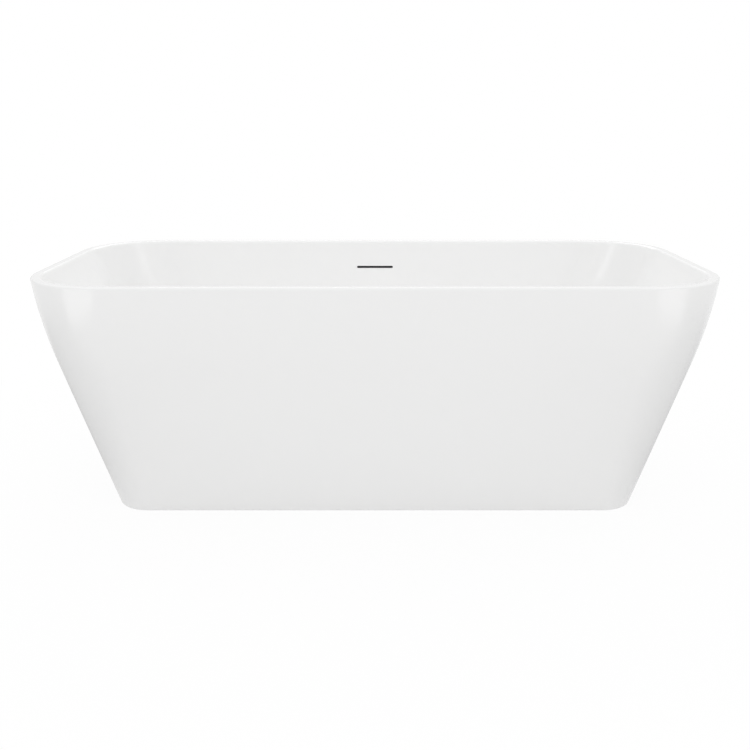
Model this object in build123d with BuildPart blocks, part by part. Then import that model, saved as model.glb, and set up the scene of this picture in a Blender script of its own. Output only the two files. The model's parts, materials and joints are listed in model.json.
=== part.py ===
"""Freestanding double-walled acrylic bathtub with a slot overflow, a push drain and levelling feet.

Millimetres, +Z up. The origin is the middle of the footprint, on the floor. X runs along the tub,
and the wall with the overflow slot is at +Y.
"""

import os
from build123d import *

os.makedirs("parts", exist_ok=True)

# Outer form: a rounded rectangle at the floor that widens to a larger one at the rim
RIM_LENGTH = 1676.0
RIM_WIDTH = 787.0
RIM_CORNER = 208.0
TUB_HEIGHT = 590.0
BASE_LENGTH = 1325.0
BASE_WIDTH = 595.0
BASE_CORNER = 86.0
SKIRT_CURVE = 210.0  # the height below the rim in which the skirt curves upright, straight under it
SKIRT_RIM_SLOPE = 0.44  # its slope at the rim, against the slope of the straight stretch

# Shells and rim
SKIRT_WALL = 5.0
BASIN_WALL = 5.5
RIM_FLAT = 24.0  # from the rim's outer edge to the well
RIM_THICKNESS = 6.0
RIM_OUTER_ROUND = 4.5
RIM_INNER_ROUND = 8.0
FLANGE_THICKNESS = 6.0  # the skirt's inward flange, bonded under the rim
SHELL_GAP = 1.5  # between that flange and the basin's wall

# Bathing well
FLOOR_HEIGHT = 140.0
FLOOR_THICKNESS = 8.0
WELL_END_INSET = 92.5  # from the skirt's foot to the edge of the well's floor, before its round
WELL_SIDE_INSET = 77.5
WELL_CORNER = 150.0
FLOOR_ROUND = 80.0
WELL_CURVE = 180.0
WELL_RIM_SLOPE = 0.45

# Overflow
SLOT_LENGTH = 110.0
SLOT_HEIGHT = 6.5
SLOT_BELOW_RIM = 78.0
GASKET_THICKNESS = 2.0
GASKET_BORDER = 10.0
GASKET_PLAY = 0.1
BOX_WALL = 2.0
BOX_MARGIN = 16.0  # beyond each end of the slot
BOX_ABOVE_SLOT = 24.0
BOX_BELOW_SLOT = 54.0
BOX_SKIRT_GAP = 3.0
SPIGOT_RADIUS = 9.5
SPIGOT_BORE = 7.5
SPIGOT_REACH = 22.0  # how far a spigot runs into the hose
SPIGOT_SHOULDER = 3.0  # the collar that the hose is pushed up to
SPIGOT_LEAD = 9.0  # from the box's floor to the hose's end
HOSE_WALL = 2.5
HOSE_PLAY = 0.1
HOSE_BEND = 110.0
HOSE_SKIRT_INSET = 50.0  # from the skirt's face to where the hose's two runs would meet
CLAMP_BAND = 9.0
CLAMP_THICKNESS = 1.0
CLAMP_FROM_END = 11.0
CLAMP_HOUSING = 8.0

# Drain
DRAIN_HOLE = 24.0
RECESS_RADIUS = 39.0
RECESS_DEPTH = 2.5
FLANGE_RADIUS = 35.0
DRAIN_FLANGE_THICKNESS = 2.0
DRAIN_SEAL_THICKNESS = 1.0
BARREL_RADIUS = 23.0
BARREL_BORE = 20.0
BARREL_LENGTH = 46.0
THREAD_PLAY = 0.1
SPOKE_COUNT = 4
SPOKE_WIDTH = 4.0
SPOKE_DEPTH = 8.0
SPOKE_LEVEL = 102.0
BOSS_RADIUS = 8.0
DRAIN_WASHER_THICKNESS = 3.0
DRAIN_WASHER_RADIUS = 36.0
LOCKNUT_FLATS = 62.0
LOCKNUT_THICKNESS = 10.0

# Push stopper
CAP_RADIUS = 31.0
CAP_EDGE = 4.0
CAP_DOME = 2.5
CAP_SEAT_GAP = 0.3
CAP_GASKET_THICKNESS = 1.5
CAP_GASKET_INNER = 24.5
CAP_GASKET_OUTER = 29.0
CAP_BOSS_RADIUS = 7.0
CAP_BOSS_DEPTH = 6.0
PLUNGER_RADIUS = 4.0
PLUNGER_PLAY = 0.08
PLUNGER_LENGTH = 26.0
CARTRIDGE_RADIUS = 7.5
CARTRIDGE_CAP_GAP = 2.0  # left under the cap for the click
CARTRIDGE_STUB_RADIUS = 5.0
CARTRIDGE_FLOOR = 3.0

# Waste tee and tailpiece
TEE_SOCKET_RADIUS = 27.5
TEE_SOCKET_TOP = 115.0
TEE_BODY_RADIUS = 24.0
TEE_BORE = 17.5
TEE_PORT_LEVEL = 65.0
TEE_FOOT = 42.0
TAIL_RADIUS = 19.05
TAIL_SHOULDER = 0.25  # the seat that the slip nut bears on
TAIL_BORE = 17.3
TAIL_END = 8.0
TAIL_SEATING = 10.0
SLIP_NUT_RADIUS = 30.0
SLIP_NUT_BELOW = 12.0
SLIP_NUT_OVERLAP = 6.0
SLIP_NUT_LIP = 2.0

# Support frame
BOARD_END_INSET = 80.0  # from the edge of the well's floor
BOARD_SIDE_INSET = 75.0
BOARD_THICKNESS = 16.0
BOARD_DRAIN_HOLE = 60.0
RAIL_OVERHANG = 10.0  # past each end of the board
RAIL_INSET = 30.0  # from the board's edge to the rail's middle
RAIL_WIDTH = 34.0
RAIL_HEIGHT = 30.0
RAIL_WALL = 2.5
CROSS_SPACING = 600.0
RAIL_SCREW_PITCH = 250.0
RAIL_SCREW_COUNT = 4
SCREW_RADIUS = 2.0
SCREW_HEAD_RADIUS = 4.5
SCREW_HEAD_HEIGHT = 3.0
SCREW_BITE = 12.0
SCREW_PLAY = 0.1
BATTEN_LENGTH = 900.0
BATTEN_HEIGHT = 84.0
BATTEN_THICKNESS = 18.0
BATTEN_LIFT = 6.0
BATTEN_GLUE = 0.3
STRAP_SPACING = 520.0
STRAP_WIDTH = 30.0
STRAP_THICKNESS = 3.0
STRAP_DROP = 42.0
STRAP_SCREW_PITCH = 20.0

# Levelling feet
FOOT_INSET = 60.0  # from the rail's end
PAD_RADIUS = 25.0
PAD_EDGE = 5.0
PAD_HEIGHT = 15.0
PAD_NECK_RADIUS = 13.0
PAD_FLOOR = 4.0
STUD_RADIUS = 6.0
STUD_TOP = 106.0
STUD_DISC_RADIUS = 9.0
STUD_DISC_THICKNESS = 6.0
STUD_PLAY = 0.1
STUD_NUT_PLAY = 0.08
STUD_HEX_FLATS = 17.0
STUD_HEX_HEIGHT = 8.0
STUD_HEX_GAP = 8.0
NUT_FLATS = 19.0
WELD_NUT_HEIGHT = 10.0
LOCK_NUT_HEIGHT = 7.0
FOOT_PLATE_LENGTH = 64.0
FOOT_PLATE_THICKNESS = 4.0

# Sizes and heights that follow from those
SKIRT_TOP = TUB_HEIGHT - RIM_THICKNESS
SKIRT_STRAIGHT_TO = TUB_HEIGHT - SKIRT_CURVE
WELL_STRAIGHT_TO = TUB_HEIGHT - WELL_CURVE
WELL_LENGTH = BASE_LENGTH - 2 * WELL_END_INSET
WELL_WIDTH = BASE_WIDTH - 2 * WELL_SIDE_INSET
SLOT_LEVEL = TUB_HEIGHT - SLOT_BELOW_RIM
BOARD_LENGTH = WELL_LENGTH - 2 * BOARD_END_INSET
BOARD_WIDTH = WELL_WIDTH - 2 * BOARD_SIDE_INSET
RAIL_LENGTH = BOARD_LENGTH + 2 * RAIL_OVERHANG
RAIL_SPACING = BOARD_WIDTH - 2 * RAIL_INSET
FOOT_SPACING = RAIL_LENGTH - 2 * FOOT_INSET
FLOOR_UNDERSIDE = FLOOR_HEIGHT - FLOOR_THICKNESS
RAIL_TOP = FLOOR_UNDERSIDE - BOARD_THICKNESS
RAIL_BOTTOM = RAIL_TOP - RAIL_HEIGHT
FOOT_PLATE_BOTTOM = RAIL_BOTTOM - FOOT_PLATE_THICKNESS
DRAIN_TOP = FLOOR_HEIGHT - RECESS_DEPTH + DRAIN_SEAL_THICKNESS + DRAIN_FLANGE_THICKNESS
BARREL_BOTTOM = DRAIN_TOP - BARREL_LENGTH
HOSE_BORE = SPIGOT_RADIUS + HOSE_PLAY
HOSE_RADIUS = HOSE_BORE + HOSE_WALL
CUT_PAST = 1.0  # how far a cutting form runs past the face it opens
WALL_STEPS = 8  # spans between the sections of a lofted wall


def taper_share(rise, straight, rim_slope):
    """Share of a wall's whole lean that is reached at a share of its height."""

    def run(share):
        bend = max(0.0, share - straight)
        return share - (1 - rim_slope) * bend**2 / (2 * (1 - straight))

    return run(rise) / run(1.0)


def skirt_plan(height, inset=0.0):
    """Length, width and corner radius of the skirt's outer face at a height."""
    rise = height / TUB_HEIGHT
    share = taper_share(rise, SKIRT_STRAIGHT_TO / TUB_HEIGHT, SKIRT_RIM_SLOPE)
    length = BASE_LENGTH + (RIM_LENGTH - BASE_LENGTH) * share
    width = BASE_WIDTH + (RIM_WIDTH - BASE_WIDTH) * share
    corner = BASE_CORNER + (RIM_CORNER - BASE_CORNER) * rise
    return length - 2 * inset, width - 2 * inset, corner - inset


def well_plan(height, inset=0.0):
    """Length, width and corner radius of the bathing well's face at a height."""
    depth = TUB_HEIGHT - FLOOR_HEIGHT
    rise = (height - FLOOR_HEIGHT) / depth
    share = taper_share(rise, (WELL_STRAIGHT_TO - FLOOR_HEIGHT) / depth, WELL_RIM_SLOPE)
    length = WELL_LENGTH + (RIM_LENGTH - 2 * RIM_FLAT - WELL_LENGTH) * share
    width = WELL_WIDTH + (RIM_WIDTH - 2 * RIM_FLAT - WELL_WIDTH) * share
    corner = WELL_CORNER + (RIM_CORNER - RIM_FLAT - WELL_CORNER) * rise
    return length - 2 * inset, width - 2 * inset, corner - inset


def half_width(plan, height, inset=0.0):
    return plan(height, inset)[1] / 2


def wall_levels(low, high):
    """Evenly spaced section heights, so that the wall lofted through them has no waves."""
    step = (high - low) / WALL_STEPS
    return [low + step * i for i in range(WALL_STEPS + 1)]


def walled_form(plan, levels, inset=0.0):
    """Solid whose outline at each level is the plan there, drawn in by the inset."""
    with BuildPart() as form:
        for level in levels:
            with BuildSketch(Plane.XY.offset(level)):
                RectangleRounded(*plan(level, inset))
        loft()
    return form.part


def upright_plane(x=0.0, y=0.0):
    """Vertical plane through (x, y): its first axis is +X and its second is +Z."""
    return Plane(origin=(x, y, 0), x_dir=(1, 0, 0), z_dir=(0, -1, 0))


def turned(profile, x=0.0, y=0.0):
    """Solid of revolution about the upright line through (x, y), from (radius, height) points."""
    with BuildPart() as body:
        with BuildSketch(upright_plane(x, y)):
            with BuildLine():
                Polyline(*profile, close=True)
            make_face()
        revolve(axis=Axis((x, y, 0), (0, 0, 1)))
    return body.part


def save(part, name):
    part.label = name
    export_step(part, f"parts/{name}.step")


# Outer skirt: one leaning wall, open below, with an inward flange that the rim is bonded to
skirt_form = walled_form(skirt_plan, wall_levels(0, SKIRT_TOP))
skirt_hollow = walled_form(
    skirt_plan,
    wall_levels(-CUT_PAST, SKIRT_TOP - FLANGE_THICKNESS),
    SKIRT_WALL,
)
flange_reach = RIM_FLAT - BASIN_WALL - SHELL_GAP
with BuildPart() as outer_skirt:
    add(skirt_form)
    add(skirt_hollow, mode=Mode.SUBTRACT)
    with BuildSketch(Plane.XY.offset(SKIRT_TOP)):
        RectangleRounded(*skirt_plan(SKIRT_TOP, flange_reach))
    extrude(amount=-FLANGE_THICKNESS - CUT_PAST, mode=Mode.SUBTRACT)
save(outer_skirt.part, "outer_skirt")

# Inner basin: the well with its rounded floor, the thin rim, the slot and the drain hole
well_form = walled_form(well_plan, wall_levels(FLOOR_HEIGHT, TUB_HEIGHT + CUT_PAST))
with BuildPart() as well_void:
    add(well_form)
    fillet(well_void.faces().sort_by(Axis.Z)[0].edges(), FLOOR_ROUND)

basin_levels = wall_levels(FLOOR_UNDERSIDE, SKIRT_TOP)
basin_form = walled_form(well_plan, basin_levels, -BASIN_WALL)
rim_form = walled_form(skirt_plan, [SKIRT_TOP, TUB_HEIGHT])
slot_plane = Plane(origin=(0, 0, SLOT_LEVEL), x_dir=(1, 0, 0), z_dir=(0, 1, 0))
with BuildPart() as inner_basin:
    add(basin_form)
    fillet(inner_basin.faces().sort_by(Axis.Z)[0].edges(), FLOOR_ROUND + BASIN_WALL)
    add(rim_form)
    add(well_void.part, mode=Mode.SUBTRACT)
    fillet(inner_basin.faces().sort_by(Axis.Z)[-1].outer_wire().edges(), RIM_OUTER_ROUND)
    fillet(inner_basin.faces().sort_by(Axis.Z)[-1].inner_wires()[0].edges(), RIM_INNER_ROUND)
    with BuildSketch(Plane.XY.offset(FLOOR_HEIGHT)):
        Circle(RECESS_RADIUS)
    extrude(amount=-RECESS_DEPTH, mode=Mode.SUBTRACT)
    with BuildSketch(Plane.XY.offset(FLOOR_HEIGHT)):
        Circle(DRAIN_HOLE)
    extrude(amount=-FLOOR_THICKNESS - CUT_PAST, mode=Mode.SUBTRACT)
    with BuildSketch(slot_plane):
        SlotOverall(SLOT_LENGTH, SLOT_HEIGHT)
    extrude(amount=RIM_WIDTH / 2, mode=Mode.SUBTRACT)
save(inner_basin.part, "inner_basin")

# Overflow box behind the slot, on a gasket that follows the wall's curve
box_top = SLOT_LEVEL + BOX_ABOVE_SLOT
box_bottom = SLOT_LEVEL - BOX_BELOW_SLOT
box_half_length = SLOT_LENGTH / 2 + BOX_MARGIN
box_front = half_width(well_plan, box_bottom)


def wall_cover(thickness):
    """Form of the basin's outside, grown by a thickness laid on its wall."""
    return walled_form(well_plan, basin_levels, -BASIN_WALL - thickness)


def box_block(inset):
    """Block between the basin and the skirt, its back set parallel to the skirt's wall."""
    top = box_top - inset
    bottom = box_bottom + inset
    back_gap = SKIRT_WALL + BOX_SKIRT_GAP + inset
    with BuildPart() as block:
        with BuildSketch(Plane.YZ):
            with BuildLine():
                Polyline(
                    (box_front, bottom),
                    (half_width(skirt_plan, bottom, back_gap), bottom),
                    (half_width(skirt_plan, top, back_gap), top),
                    (box_front, top),
                    close=True,
                )
            make_face()
        extrude(amount=box_half_length - inset, both=True)
    return block.part


hose_start_y = (
    half_width(well_plan, box_bottom, -BASIN_WALL - GASKET_THICKNESS)
    + half_width(skirt_plan, box_bottom, SKIRT_WALL + BOX_SKIRT_GAP)
) / 2
box_outlet = Vector(0, hose_start_y, box_bottom)
hose_corner = Vector(
    0, half_width(skirt_plan, TEE_PORT_LEVEL, SKIRT_WALL + HOSE_SKIRT_INSET), TEE_PORT_LEVEL
)
hose_drop = (hose_corner - box_outlet).normalized()
hose_top = box_outlet + hose_drop * SPIGOT_LEAD
port_face = TEE_BODY_RADIUS + SPIGOT_SHOULDER
hose_end = Vector(0, port_face, TEE_PORT_LEVEL)


def spigot_plane(distance):
    """Plane across the box's outlet, that far down the hose's line from the box's floor."""
    return Plane(origin=box_outlet + hose_drop * distance, x_dir=(1, 0, 0), z_dir=hose_drop)


box_cavity = box_block(BOX_WALL) - wall_cover(GASKET_THICKNESS + BOX_WALL)
window_reach = half_width(well_plan, SLOT_LEVEL, -BASIN_WALL - GASKET_THICKNESS - 2 * BOX_WALL)
with BuildPart() as overflow_box:
    add(box_block(0))
    add(wall_cover(GASKET_THICKNESS), mode=Mode.SUBTRACT)
    with BuildSketch(spigot_plane(-BOX_WALL)):
        Circle(SPIGOT_RADIUS)
    extrude(amount=BOX_WALL + SPIGOT_LEAD + SPIGOT_REACH)
    with BuildSketch(spigot_plane(SPIGOT_LEAD)):
        Circle(HOSE_RADIUS)
    extrude(amount=-SPIGOT_SHOULDER)
    add(box_cavity, mode=Mode.SUBTRACT)
    with BuildSketch(spigot_plane(-SPIGOT_LEAD)):
        Circle(SPIGOT_BORE)
    extrude(amount=2 * SPIGOT_LEAD + SPIGOT_REACH, mode=Mode.SUBTRACT)
    with BuildSketch(slot_plane):
        SlotOverall(SLOT_LENGTH + 2 * BOX_WALL, SLOT_HEIGHT + 2 * BOX_WALL)
    extrude(amount=window_reach, mode=Mode.SUBTRACT)
save(overflow_box.part, "overflow_box")

with BuildPart() as overflow_gasket:
    with BuildSketch(slot_plane):
        SlotOverall(SLOT_LENGTH + 2 * GASKET_BORDER, SLOT_HEIGHT + 2 * GASKET_BORDER)
        SlotOverall(SLOT_LENGTH + 2 * BOX_WALL, SLOT_HEIGHT + 2 * BOX_WALL, mode=Mode.SUBTRACT)
    extrude(amount=RIM_WIDTH / 2)
    add(wall_cover(GASKET_THICKNESS - GASKET_PLAY), mode=Mode.INTERSECT)
    add(wall_cover(GASKET_PLAY), mode=Mode.SUBTRACT)
save(overflow_gasket.part, "overflow_gasket")

# Overflow hose: down the gap between the shells, one wide bend, then level into the tee
with BuildPart() as overflow_hose:
    with BuildLine() as hose_route:
        FilletPolyline(hose_top, hose_corner, hose_end, radius=HOSE_BEND)
    with BuildSketch(spigot_plane(SPIGOT_LEAD)):
        Circle(HOSE_RADIUS)
        Circle(HOSE_BORE, mode=Mode.SUBTRACT)
    sweep(path=hose_route.wires()[0])
save(overflow_hose.part, "overflow_hose")

# Hose clamps: a band and its screw housing at each end of the hose
clamp_bore = HOSE_RADIUS + HOSE_PLAY
clamp_radius = clamp_bore + CLAMP_THICKNESS
clamp_planes = [
    spigot_plane(SPIGOT_LEAD + CLAMP_FROM_END),
    Plane(origin=hose_end + Vector(0, CLAMP_FROM_END, 0), x_dir=(1, 0, 0), z_dir=(0, 1, 0)),
]
with BuildPart() as hose_clamps:
    for clamp_plane in clamp_planes:
        with BuildSketch(clamp_plane):
            Circle(clamp_radius)
            with Locations((clamp_radius + CLAMP_HOUSING / 2 - CLAMP_THICKNESS, 0)):
                Rectangle(CLAMP_HOUSING, CLAMP_HOUSING)
            Circle(clamp_bore, mode=Mode.SUBTRACT)
        extrude(amount=CLAMP_BAND / 2, both=True)
save(hose_clamps.part, "hose_clamps")

# Drain flange: rim, threaded barrel and the spoked boss that carries the push cartridge
seat_level = FLOOR_HEIGHT - RECESS_DEPTH
flange_underside = seat_level + DRAIN_SEAL_THICKNESS
boss_top = SPOKE_LEVEL + SPOKE_DEPTH
flange_body = turned(
    [
        (BARREL_BORE, BARREL_BOTTOM),
        (BARREL_RADIUS, BARREL_BOTTOM),
        (BARREL_RADIUS, flange_underside),
        (FLANGE_RADIUS, flange_underside),
        (FLANGE_RADIUS, DRAIN_TOP - DRAIN_FLANGE_THICKNESS / 2),
        (FLANGE_RADIUS - DRAIN_FLANGE_THICKNESS / 2, DRAIN_TOP),
        (BARREL_BORE + DRAIN_FLANGE_THICKNESS, DRAIN_TOP),
        (BARREL_BORE, DRAIN_TOP - DRAIN_FLANGE_THICKNESS),
    ]
)
with BuildPart() as drain_flange:
    add(flange_body)
    with BuildSketch(Plane.XY.offset(SPOKE_LEVEL)):
        Circle(BOSS_RADIUS)
        with PolarLocations(0, SPOKE_COUNT):
            spoke_reach = (BARREL_BORE + BARREL_RADIUS) / 2
            Rectangle(spoke_reach, SPOKE_WIDTH, align=(Align.MIN, Align.CENTER))
        Circle(CARTRIDGE_STUB_RADIUS, mode=Mode.SUBTRACT)
    extrude(amount=SPOKE_DEPTH)
save(drain_flange.part, "drain_flange")


def ring(inner, outer, bottom, thickness):
    """Flat ring about the drain's axis."""
    top = bottom + thickness
    return turned([(inner, bottom), (outer, bottom), (outer, top), (inner, top)])


barrel_clearance = BARREL_RADIUS + THREAD_PLAY
drain_seal = ring(barrel_clearance, FLANGE_RADIUS, seat_level, DRAIN_SEAL_THICKNESS)
save(drain_seal, "drain_seal")
washer_bottom = FLOOR_UNDERSIDE - DRAIN_WASHER_THICKNESS
drain_washer = ring(barrel_clearance, DRAIN_WASHER_RADIUS, washer_bottom, DRAIN_WASHER_THICKNESS)
save(drain_washer, "drain_washer")

with BuildPart() as drain_locknut:
    with BuildSketch(Plane.XY.offset(washer_bottom)):
        RegularPolygon(LOCKNUT_FLATS / 2, 6, major_radius=False)
        Circle(barrel_clearance, mode=Mode.SUBTRACT)
    extrude(amount=-LOCKNUT_THICKNESS)
save(drain_locknut.part, "drain_locknut")

# Push stopper: cap, gasket and plunger move together, the cartridge stays in the boss
cap_gasket_bottom = DRAIN_TOP + CAP_SEAT_GAP
cap_underside = cap_gasket_bottom + CAP_GASKET_THICKNESS
cap_boss_bottom = cap_underside - CAP_BOSS_DEPTH
with BuildPart() as stopper_cap:
    with BuildSketch(upright_plane()):
        with BuildLine():
            Polyline(
                (0, cap_underside + CAP_EDGE + CAP_DOME),
                (0, cap_underside),
                (PLUNGER_RADIUS, cap_underside),
                (PLUNGER_RADIUS, cap_boss_bottom),
                (CAP_BOSS_RADIUS, cap_boss_bottom),
                (CAP_BOSS_RADIUS, cap_underside),
                (CAP_RADIUS, cap_underside),
                (CAP_RADIUS, cap_underside + CAP_EDGE),
            )
            ThreePointArc(
                (CAP_RADIUS, cap_underside + CAP_EDGE),
                (CAP_RADIUS / 2, cap_underside + CAP_EDGE + CAP_DOME * 3 / 4),
                (0, cap_underside + CAP_EDGE + CAP_DOME),
            )
        make_face()
    revolve(axis=Axis.Z)
    fillet(stopper_cap.edges().filter_by(GeomType.CIRCLE).sort_by(SortBy.RADIUS)[-2:], CAP_EDGE / 3)
save(stopper_cap.part, "stopper_cap")
stopper_gasket = ring(CAP_GASKET_INNER, CAP_GASKET_OUTER, cap_gasket_bottom, CAP_GASKET_THICKNESS)
save(stopper_gasket, "stopper_gasket")

plunger_bottom = cap_underside - PLUNGER_LENGTH
plunger_point = PLUNGER_RADIUS / 4
plunger = turned(
    [
        (0, plunger_bottom),
        (PLUNGER_RADIUS - plunger_point, plunger_bottom),
        (PLUNGER_RADIUS, plunger_bottom + plunger_point),
        (PLUNGER_RADIUS, cap_underside),
        (0, cap_underside),
    ]
)
save(plunger, "stopper_plunger")

cartridge_top = cap_boss_bottom - CARTRIDGE_CAP_GAP
cartridge_bore = PLUNGER_RADIUS + PLUNGER_PLAY
cartridge_stub = CARTRIDGE_STUB_RADIUS - THREAD_PLAY
cartridge = turned(
    [
        (0, SPOKE_LEVEL),
        (cartridge_stub, SPOKE_LEVEL),
        (cartridge_stub, boss_top),
        (CARTRIDGE_RADIUS, boss_top),
        (CARTRIDGE_RADIUS, cartridge_top),
        (cartridge_bore, cartridge_top),
        (cartridge_bore, boss_top + CARTRIDGE_FLOOR),
        (0, boss_top + CARTRIDGE_FLOOR),
    ]
)
save(cartridge, "push_cartridge")

# Waste tee, tailpiece and slip nut
tail_spigot = TAIL_RADIUS - TAIL_SHOULDER
tail_socket = tail_spigot + THREAD_PLAY
tail_top = TEE_FOOT + TAIL_SEATING
slip_nut_bottom = TEE_FOOT - SLIP_NUT_BELOW
tee_step = BARREL_BOTTOM - (TEE_SOCKET_RADIUS - TEE_BODY_RADIUS)
tee_body = turned(
    [
        (tail_socket, TEE_FOOT),
        (TEE_BODY_RADIUS, TEE_FOOT),
        (TEE_BODY_RADIUS, tee_step),
        (TEE_SOCKET_RADIUS, BARREL_BOTTOM),
        (TEE_SOCKET_RADIUS, TEE_SOCKET_TOP),
        (barrel_clearance, TEE_SOCKET_TOP),
        (barrel_clearance, BARREL_BOTTOM),
        (TEE_BORE, BARREL_BOTTOM),
        (TEE_BORE, tail_top),
        (tail_socket, tail_top),
    ]
)
port_plane = Plane(origin=(0, 0, TEE_PORT_LEVEL), x_dir=(1, 0, 0), z_dir=(0, 1, 0))
port_root = (TEE_BORE + TEE_BODY_RADIUS) / 2
with BuildPart() as drain_tee:
    add(tee_body)
    with BuildSketch(port_plane.offset(port_root)):
        Circle(SPIGOT_RADIUS)
    extrude(amount=port_face + SPIGOT_REACH - port_root)
    with BuildSketch(port_plane.offset(port_root)):
        Circle(HOSE_RADIUS)
    extrude(amount=port_face - port_root)
    with BuildSketch(port_plane):
        Circle(SPIGOT_BORE)
    extrude(amount=port_face + SPIGOT_REACH, mode=Mode.SUBTRACT)
    with BuildSketch(Plane.XY.offset(tail_top)):
        Circle(TEE_BORE)
    extrude(amount=BARREL_BOTTOM - tail_top, mode=Mode.SUBTRACT)
save(drain_tee.part, "drain_tee")

tailpiece = turned(
    [
        (TAIL_BORE, TAIL_END),
        (TAIL_RADIUS, TAIL_END),
        (TAIL_RADIUS, slip_nut_bottom),
        (tail_spigot, slip_nut_bottom),
        (tail_spigot, tail_top),
        (TAIL_BORE, tail_top),
    ]
)
save(tailpiece, "drain_tailpiece")

slip_nut_bore = TEE_BODY_RADIUS + THREAD_PLAY
slip_nut = turned(
    [
        (tail_socket, slip_nut_bottom),
        (SLIP_NUT_RADIUS, slip_nut_bottom),
        (SLIP_NUT_RADIUS, TEE_FOOT + SLIP_NUT_OVERLAP),
        (slip_nut_bore, TEE_FOOT + SLIP_NUT_OVERLAP),
        (slip_nut_bore, TEE_FOOT - SLIP_NUT_LIP),
        (tail_socket, TEE_FOOT - SLIP_NUT_LIP),
    ]
)
save(slip_nut, "tailpiece_slip_nut")

# Base board under the well's floor, with pilot holes for the rail screws
with BuildPart() as base_board:
    with BuildSketch(Plane.XY.offset(RAIL_TOP)):
        Rectangle(BOARD_LENGTH, BOARD_WIDTH)
        Circle(BOARD_DRAIN_HOLE, mode=Mode.SUBTRACT)
    extrude(amount=BOARD_THICKNESS)
    with BuildSketch(Plane.XY.offset(RAIL_TOP)):
        with GridLocations(RAIL_SCREW_PITCH, RAIL_SPACING, RAIL_SCREW_COUNT, 2):
            Circle(SCREW_RADIUS + SCREW_PLAY)
    extrude(amount=SCREW_BITE + SCREW_PLAY, mode=Mode.SUBTRACT)
save(base_board.part, "base_board")


def channel(plane, length):
    """Downward-open steel channel: web on top, drawn across the plane, centred on its length."""
    with BuildPart() as section:
        with BuildSketch(plane.offset(-length / 2)):
            with Locations((0, RAIL_TOP)):
                Rectangle(RAIL_WIDTH, RAIL_HEIGHT, align=(Align.CENTER, Align.MAX))
            with Locations((0, RAIL_BOTTOM)):
                Rectangle(
                    RAIL_WIDTH - 2 * RAIL_WALL,
                    RAIL_HEIGHT - RAIL_WALL,
                    align=(Align.CENTER, Align.MIN),
                    mode=Mode.SUBTRACT,
                )
        extrude(amount=length)
    return section.part


# Long rails with their screw holes, and cross members between them
for name, side in (("front_rail", -1), ("rear_rail", 1)):
    rail_y = side * RAIL_SPACING / 2
    rail_channel = channel(Plane(origin=(0, rail_y, 0), x_dir=(0, 1, 0), z_dir=(1, 0, 0)), RAIL_LENGTH)
    with BuildPart() as rail:
        add(rail_channel)
        with BuildSketch(Plane((0, rail_y, RAIL_TOP))):
            with GridLocations(RAIL_SCREW_PITCH, RAIL_SPACING, RAIL_SCREW_COUNT, 1):
                Circle(SCREW_RADIUS + SCREW_PLAY)
        extrude(amount=-RAIL_WALL - CUT_PAST, mode=Mode.SUBTRACT)
    save(rail.part, name)

cross_length = RAIL_SPACING - RAIL_WIDTH
for name, side in (("left_cross_member", -1), ("right_cross_member", 1)):
    cross_x = side * CROSS_SPACING / 2
    cross_plane = Plane(origin=(cross_x, 0, 0), x_dir=(1, 0, 0), z_dir=(0, -1, 0))
    save(channel(cross_plane, cross_length), name)

# Rail screws, driven up through the webs into the board
web_underside = RAIL_TOP - RAIL_WALL
with BuildPart() as rail_screws:
    with BuildSketch(Plane.XY.offset(web_underside)):
        with GridLocations(RAIL_SCREW_PITCH, RAIL_SPACING, RAIL_SCREW_COUNT, 2):
            Circle(SCREW_RADIUS)
    extrude(amount=RAIL_WALL + SCREW_BITE)
    with BuildSketch(Plane.XY.offset(web_underside)):
        with GridLocations(RAIL_SCREW_PITCH, RAIL_SPACING, RAIL_SCREW_COUNT, 2):
            Circle(SCREW_HEAD_RADIUS)
    extrude(amount=-SCREW_HEAD_HEIGHT)
save(rail_screws.part, "rail_screws")

# Battens bonded inside the skirt's foot, and the straps that tie them to the rails
batten_top = BATTEN_LIFT + BATTEN_HEIGHT
batten_back = SKIRT_WALL + BATTEN_GLUE
batten_face = half_width(skirt_plan, BATTEN_LIFT, batten_back) - BATTEN_THICKNESS
strap_screw_level = RAIL_BOTTOM - STRAP_DROP / 2


def batten_screw_plane(side):
    """Upright plane on a batten's inner face, with its normal into the batten."""
    return Plane(
        origin=(0, side * batten_face, strap_screw_level), x_dir=(1, 0, 0), z_dir=(0, side, 0)
    )


for name, side in (("front_batten", -1), ("rear_batten", 1)):
    with BuildPart() as batten:
        with BuildSketch(Plane.YZ):
            with BuildLine():
                Polyline(
                    (side * batten_face, BATTEN_LIFT),
                    (side * half_width(skirt_plan, BATTEN_LIFT, batten_back), BATTEN_LIFT),
                    (side * half_width(skirt_plan, batten_top, batten_back), batten_top),
                    (side * batten_face, batten_top),
                    close=True,
                )
            make_face()
        extrude(amount=BATTEN_LENGTH / 2, both=True)
        with BuildSketch(batten_screw_plane(side)):
            with GridLocations(STRAP_SPACING, STRAP_SCREW_PITCH, 2, 2):
                Circle(SCREW_RADIUS + SCREW_PLAY)
        extrude(amount=SCREW_BITE + SCREW_PLAY, mode=Mode.SUBTRACT)
    save(batten.part, name)

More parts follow.
